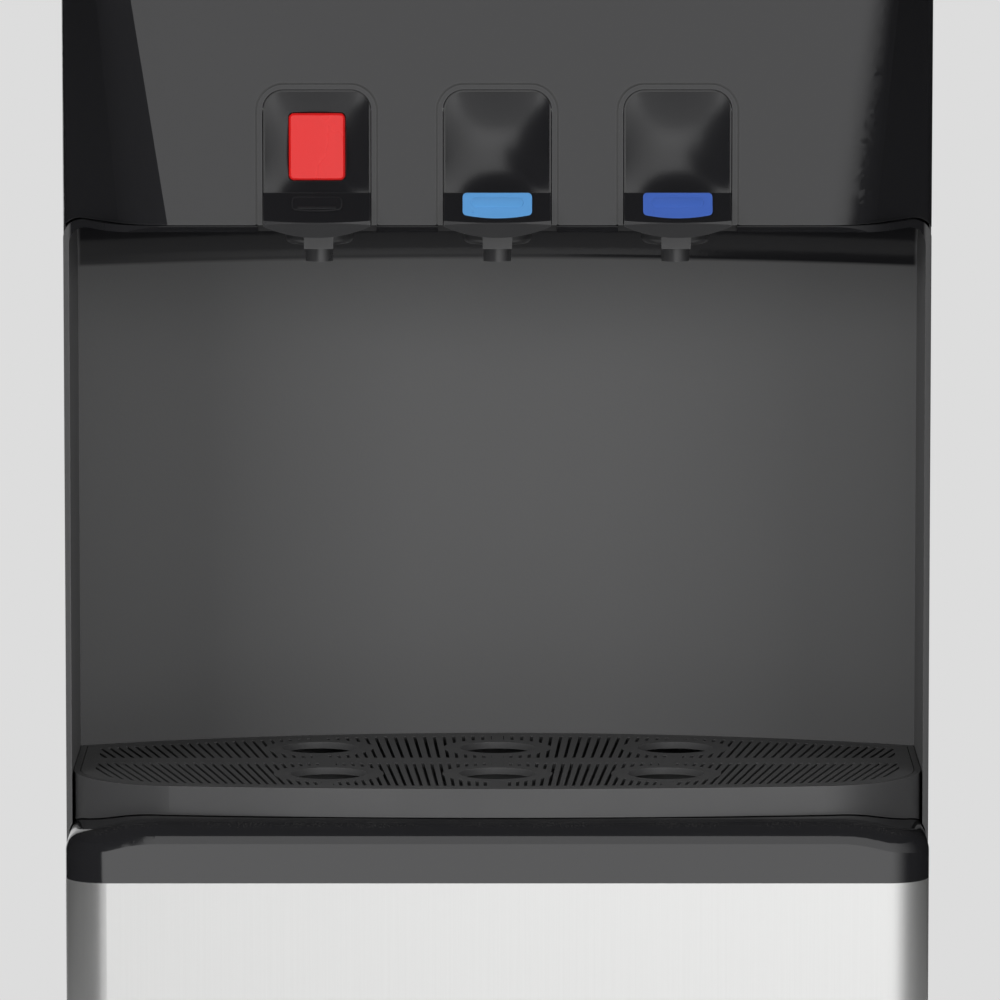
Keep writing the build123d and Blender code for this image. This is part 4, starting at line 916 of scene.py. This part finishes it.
def key_plane(x, share):
    """Point on the slanting key face at a share of its height, and the face's axes."""
    low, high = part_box("label_room")
    foot = Vector((x, low.y, low.z))
    top = Vector((x, high.y - KEY_RAISE, high.z))
    right = Vector((1, 0, 0))
    up = (top - foot).normalized()
    return foot.lerp(top, share), right, up, right.cross(up)


for tap, key, slot_name in (("room", light_blue_key, "light_blue"),
                            ("cold", dark_blue_key, "dark_blue")):
    low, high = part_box("label_" + tap)
    x = (low.x + high.x) / 2
    marks = bmesh.new()
    add_pad(marks, key_plane(x, PAD_SHARE), **PAD)
    add_pad(marks, key_plane(x - DOT_ASIDE, DOT_SHARE), **DOT)
    piece_from("key_pad_" + tap, marks, key, "paddle_" + tap)
low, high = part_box("paddle_hot")
marks = bmesh.new()
add_pad(marks, key_plane((low.x + high.x) / 2, LINE_SHARE), **LINE)
piece_from("key_line_hot", marks, black_gloss, "paddle_hot")
print("key pads laid on the slope")


# %% [markdown]
# A rocker's two halves are told apart by the usual line and ring, printed in white on its
# two faces. The upper face is upright at rest and the lower one leans out.

# %% Rocker marks
FACE_STEP = 0.00297
RIDGE_DROP = 0.00962
FOOT_DROP = 0.01877
MARK_RISE = 0.00006
MARK_REACH = 0.0018
LINE_HALF = 0.00025
RING_BORE = 0.0013


def add_ring(shape, plane, outer, inner, rise, steps=36):
    """Thin printed ring on a plane."""
    turns = [2 * math.pi * i / steps for i in range(steps)]
    rings = []
    for radius in (outer, inner):
        rings.append([shape.verts.new(laid_on(*plane, radius * math.cos(t), radius * math.sin(t), rise))
                      for t in turns])
    for i in range(steps):
        j = (i + 1) % steps
        shape.faces.new((rings[0][i], rings[0][j], rings[1][j], rings[1][i]))


for rocker in ("rocker_heat", "rocker_cool"):
    low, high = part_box(rocker)
    x = (low.x + high.x) / 2
    crown = Vector((x, high.y - FACE_STEP, high.z))
    ridge = Vector((x, high.y - FACE_STEP, high.z - RIDGE_DROP))
    foot = Vector((x, high.y, high.z - FOOT_DROP))
    right = Vector((-1, 0, 0))
    marks = bmesh.new()
    for top, base, is_line in ((crown, ridge, True), (ridge, foot, False)):
        up = (top - base).normalized()
        plane = ((top + base) / 2, right, up, right.cross(up))
        if is_line:
            corners = ((-LINE_HALF, -MARK_REACH), (LINE_HALF, -MARK_REACH),
                       (LINE_HALF, MARK_REACH), (-LINE_HALF, MARK_REACH))
            marks.faces.new([marks.verts.new(laid_on(*plane, dx, dy, MARK_RISE))
                             for dx, dy in corners])
        else:
            add_ring(marks, plane, MARK_REACH, RING_BORE, MARK_RISE)
    bmesh.ops.recalc_face_normals(marks, faces=marks.faces)
    piece_from("marks_" + rocker, marks, mark_paint, rocker)
print("rockers marked")


# %% [markdown]
# The mains inlet's three contacts are plated. Thin sleeves with rounded edges cover the
# plain blades of the frame.

# %% Inlet contacts
BLADE_PITCH = 0.007
BLADE_HALF = (0.00104, 0.00204)
BLADE_SET = 0.0015
BLADE_END = 0.003
TIP_COVER = 0.00005
TIP_ROUND = 0.0002

low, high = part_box("power_inlet")
centre = (low + high) / 2
contacts = bmesh.new()
for k in (-1, 0, 1):
    x = centre.x + k * BLADE_PITCH
    add_block(contacts, (x - BLADE_HALF[0], low.y + BLADE_SET, centre.z - BLADE_HALF[1]),
              (x + BLADE_HALF[0], high.y - BLADE_END + TIP_COVER, centre.z + BLADE_HALF[1]))
bmesh.ops.bevel(contacts, geom=list(contacts.edges), offset=TIP_ROUND, segments=2, affect="EDGES")
piece_from("inlet_contacts", contacts, nickel, "cabinet")
print("inlet contacts plated")
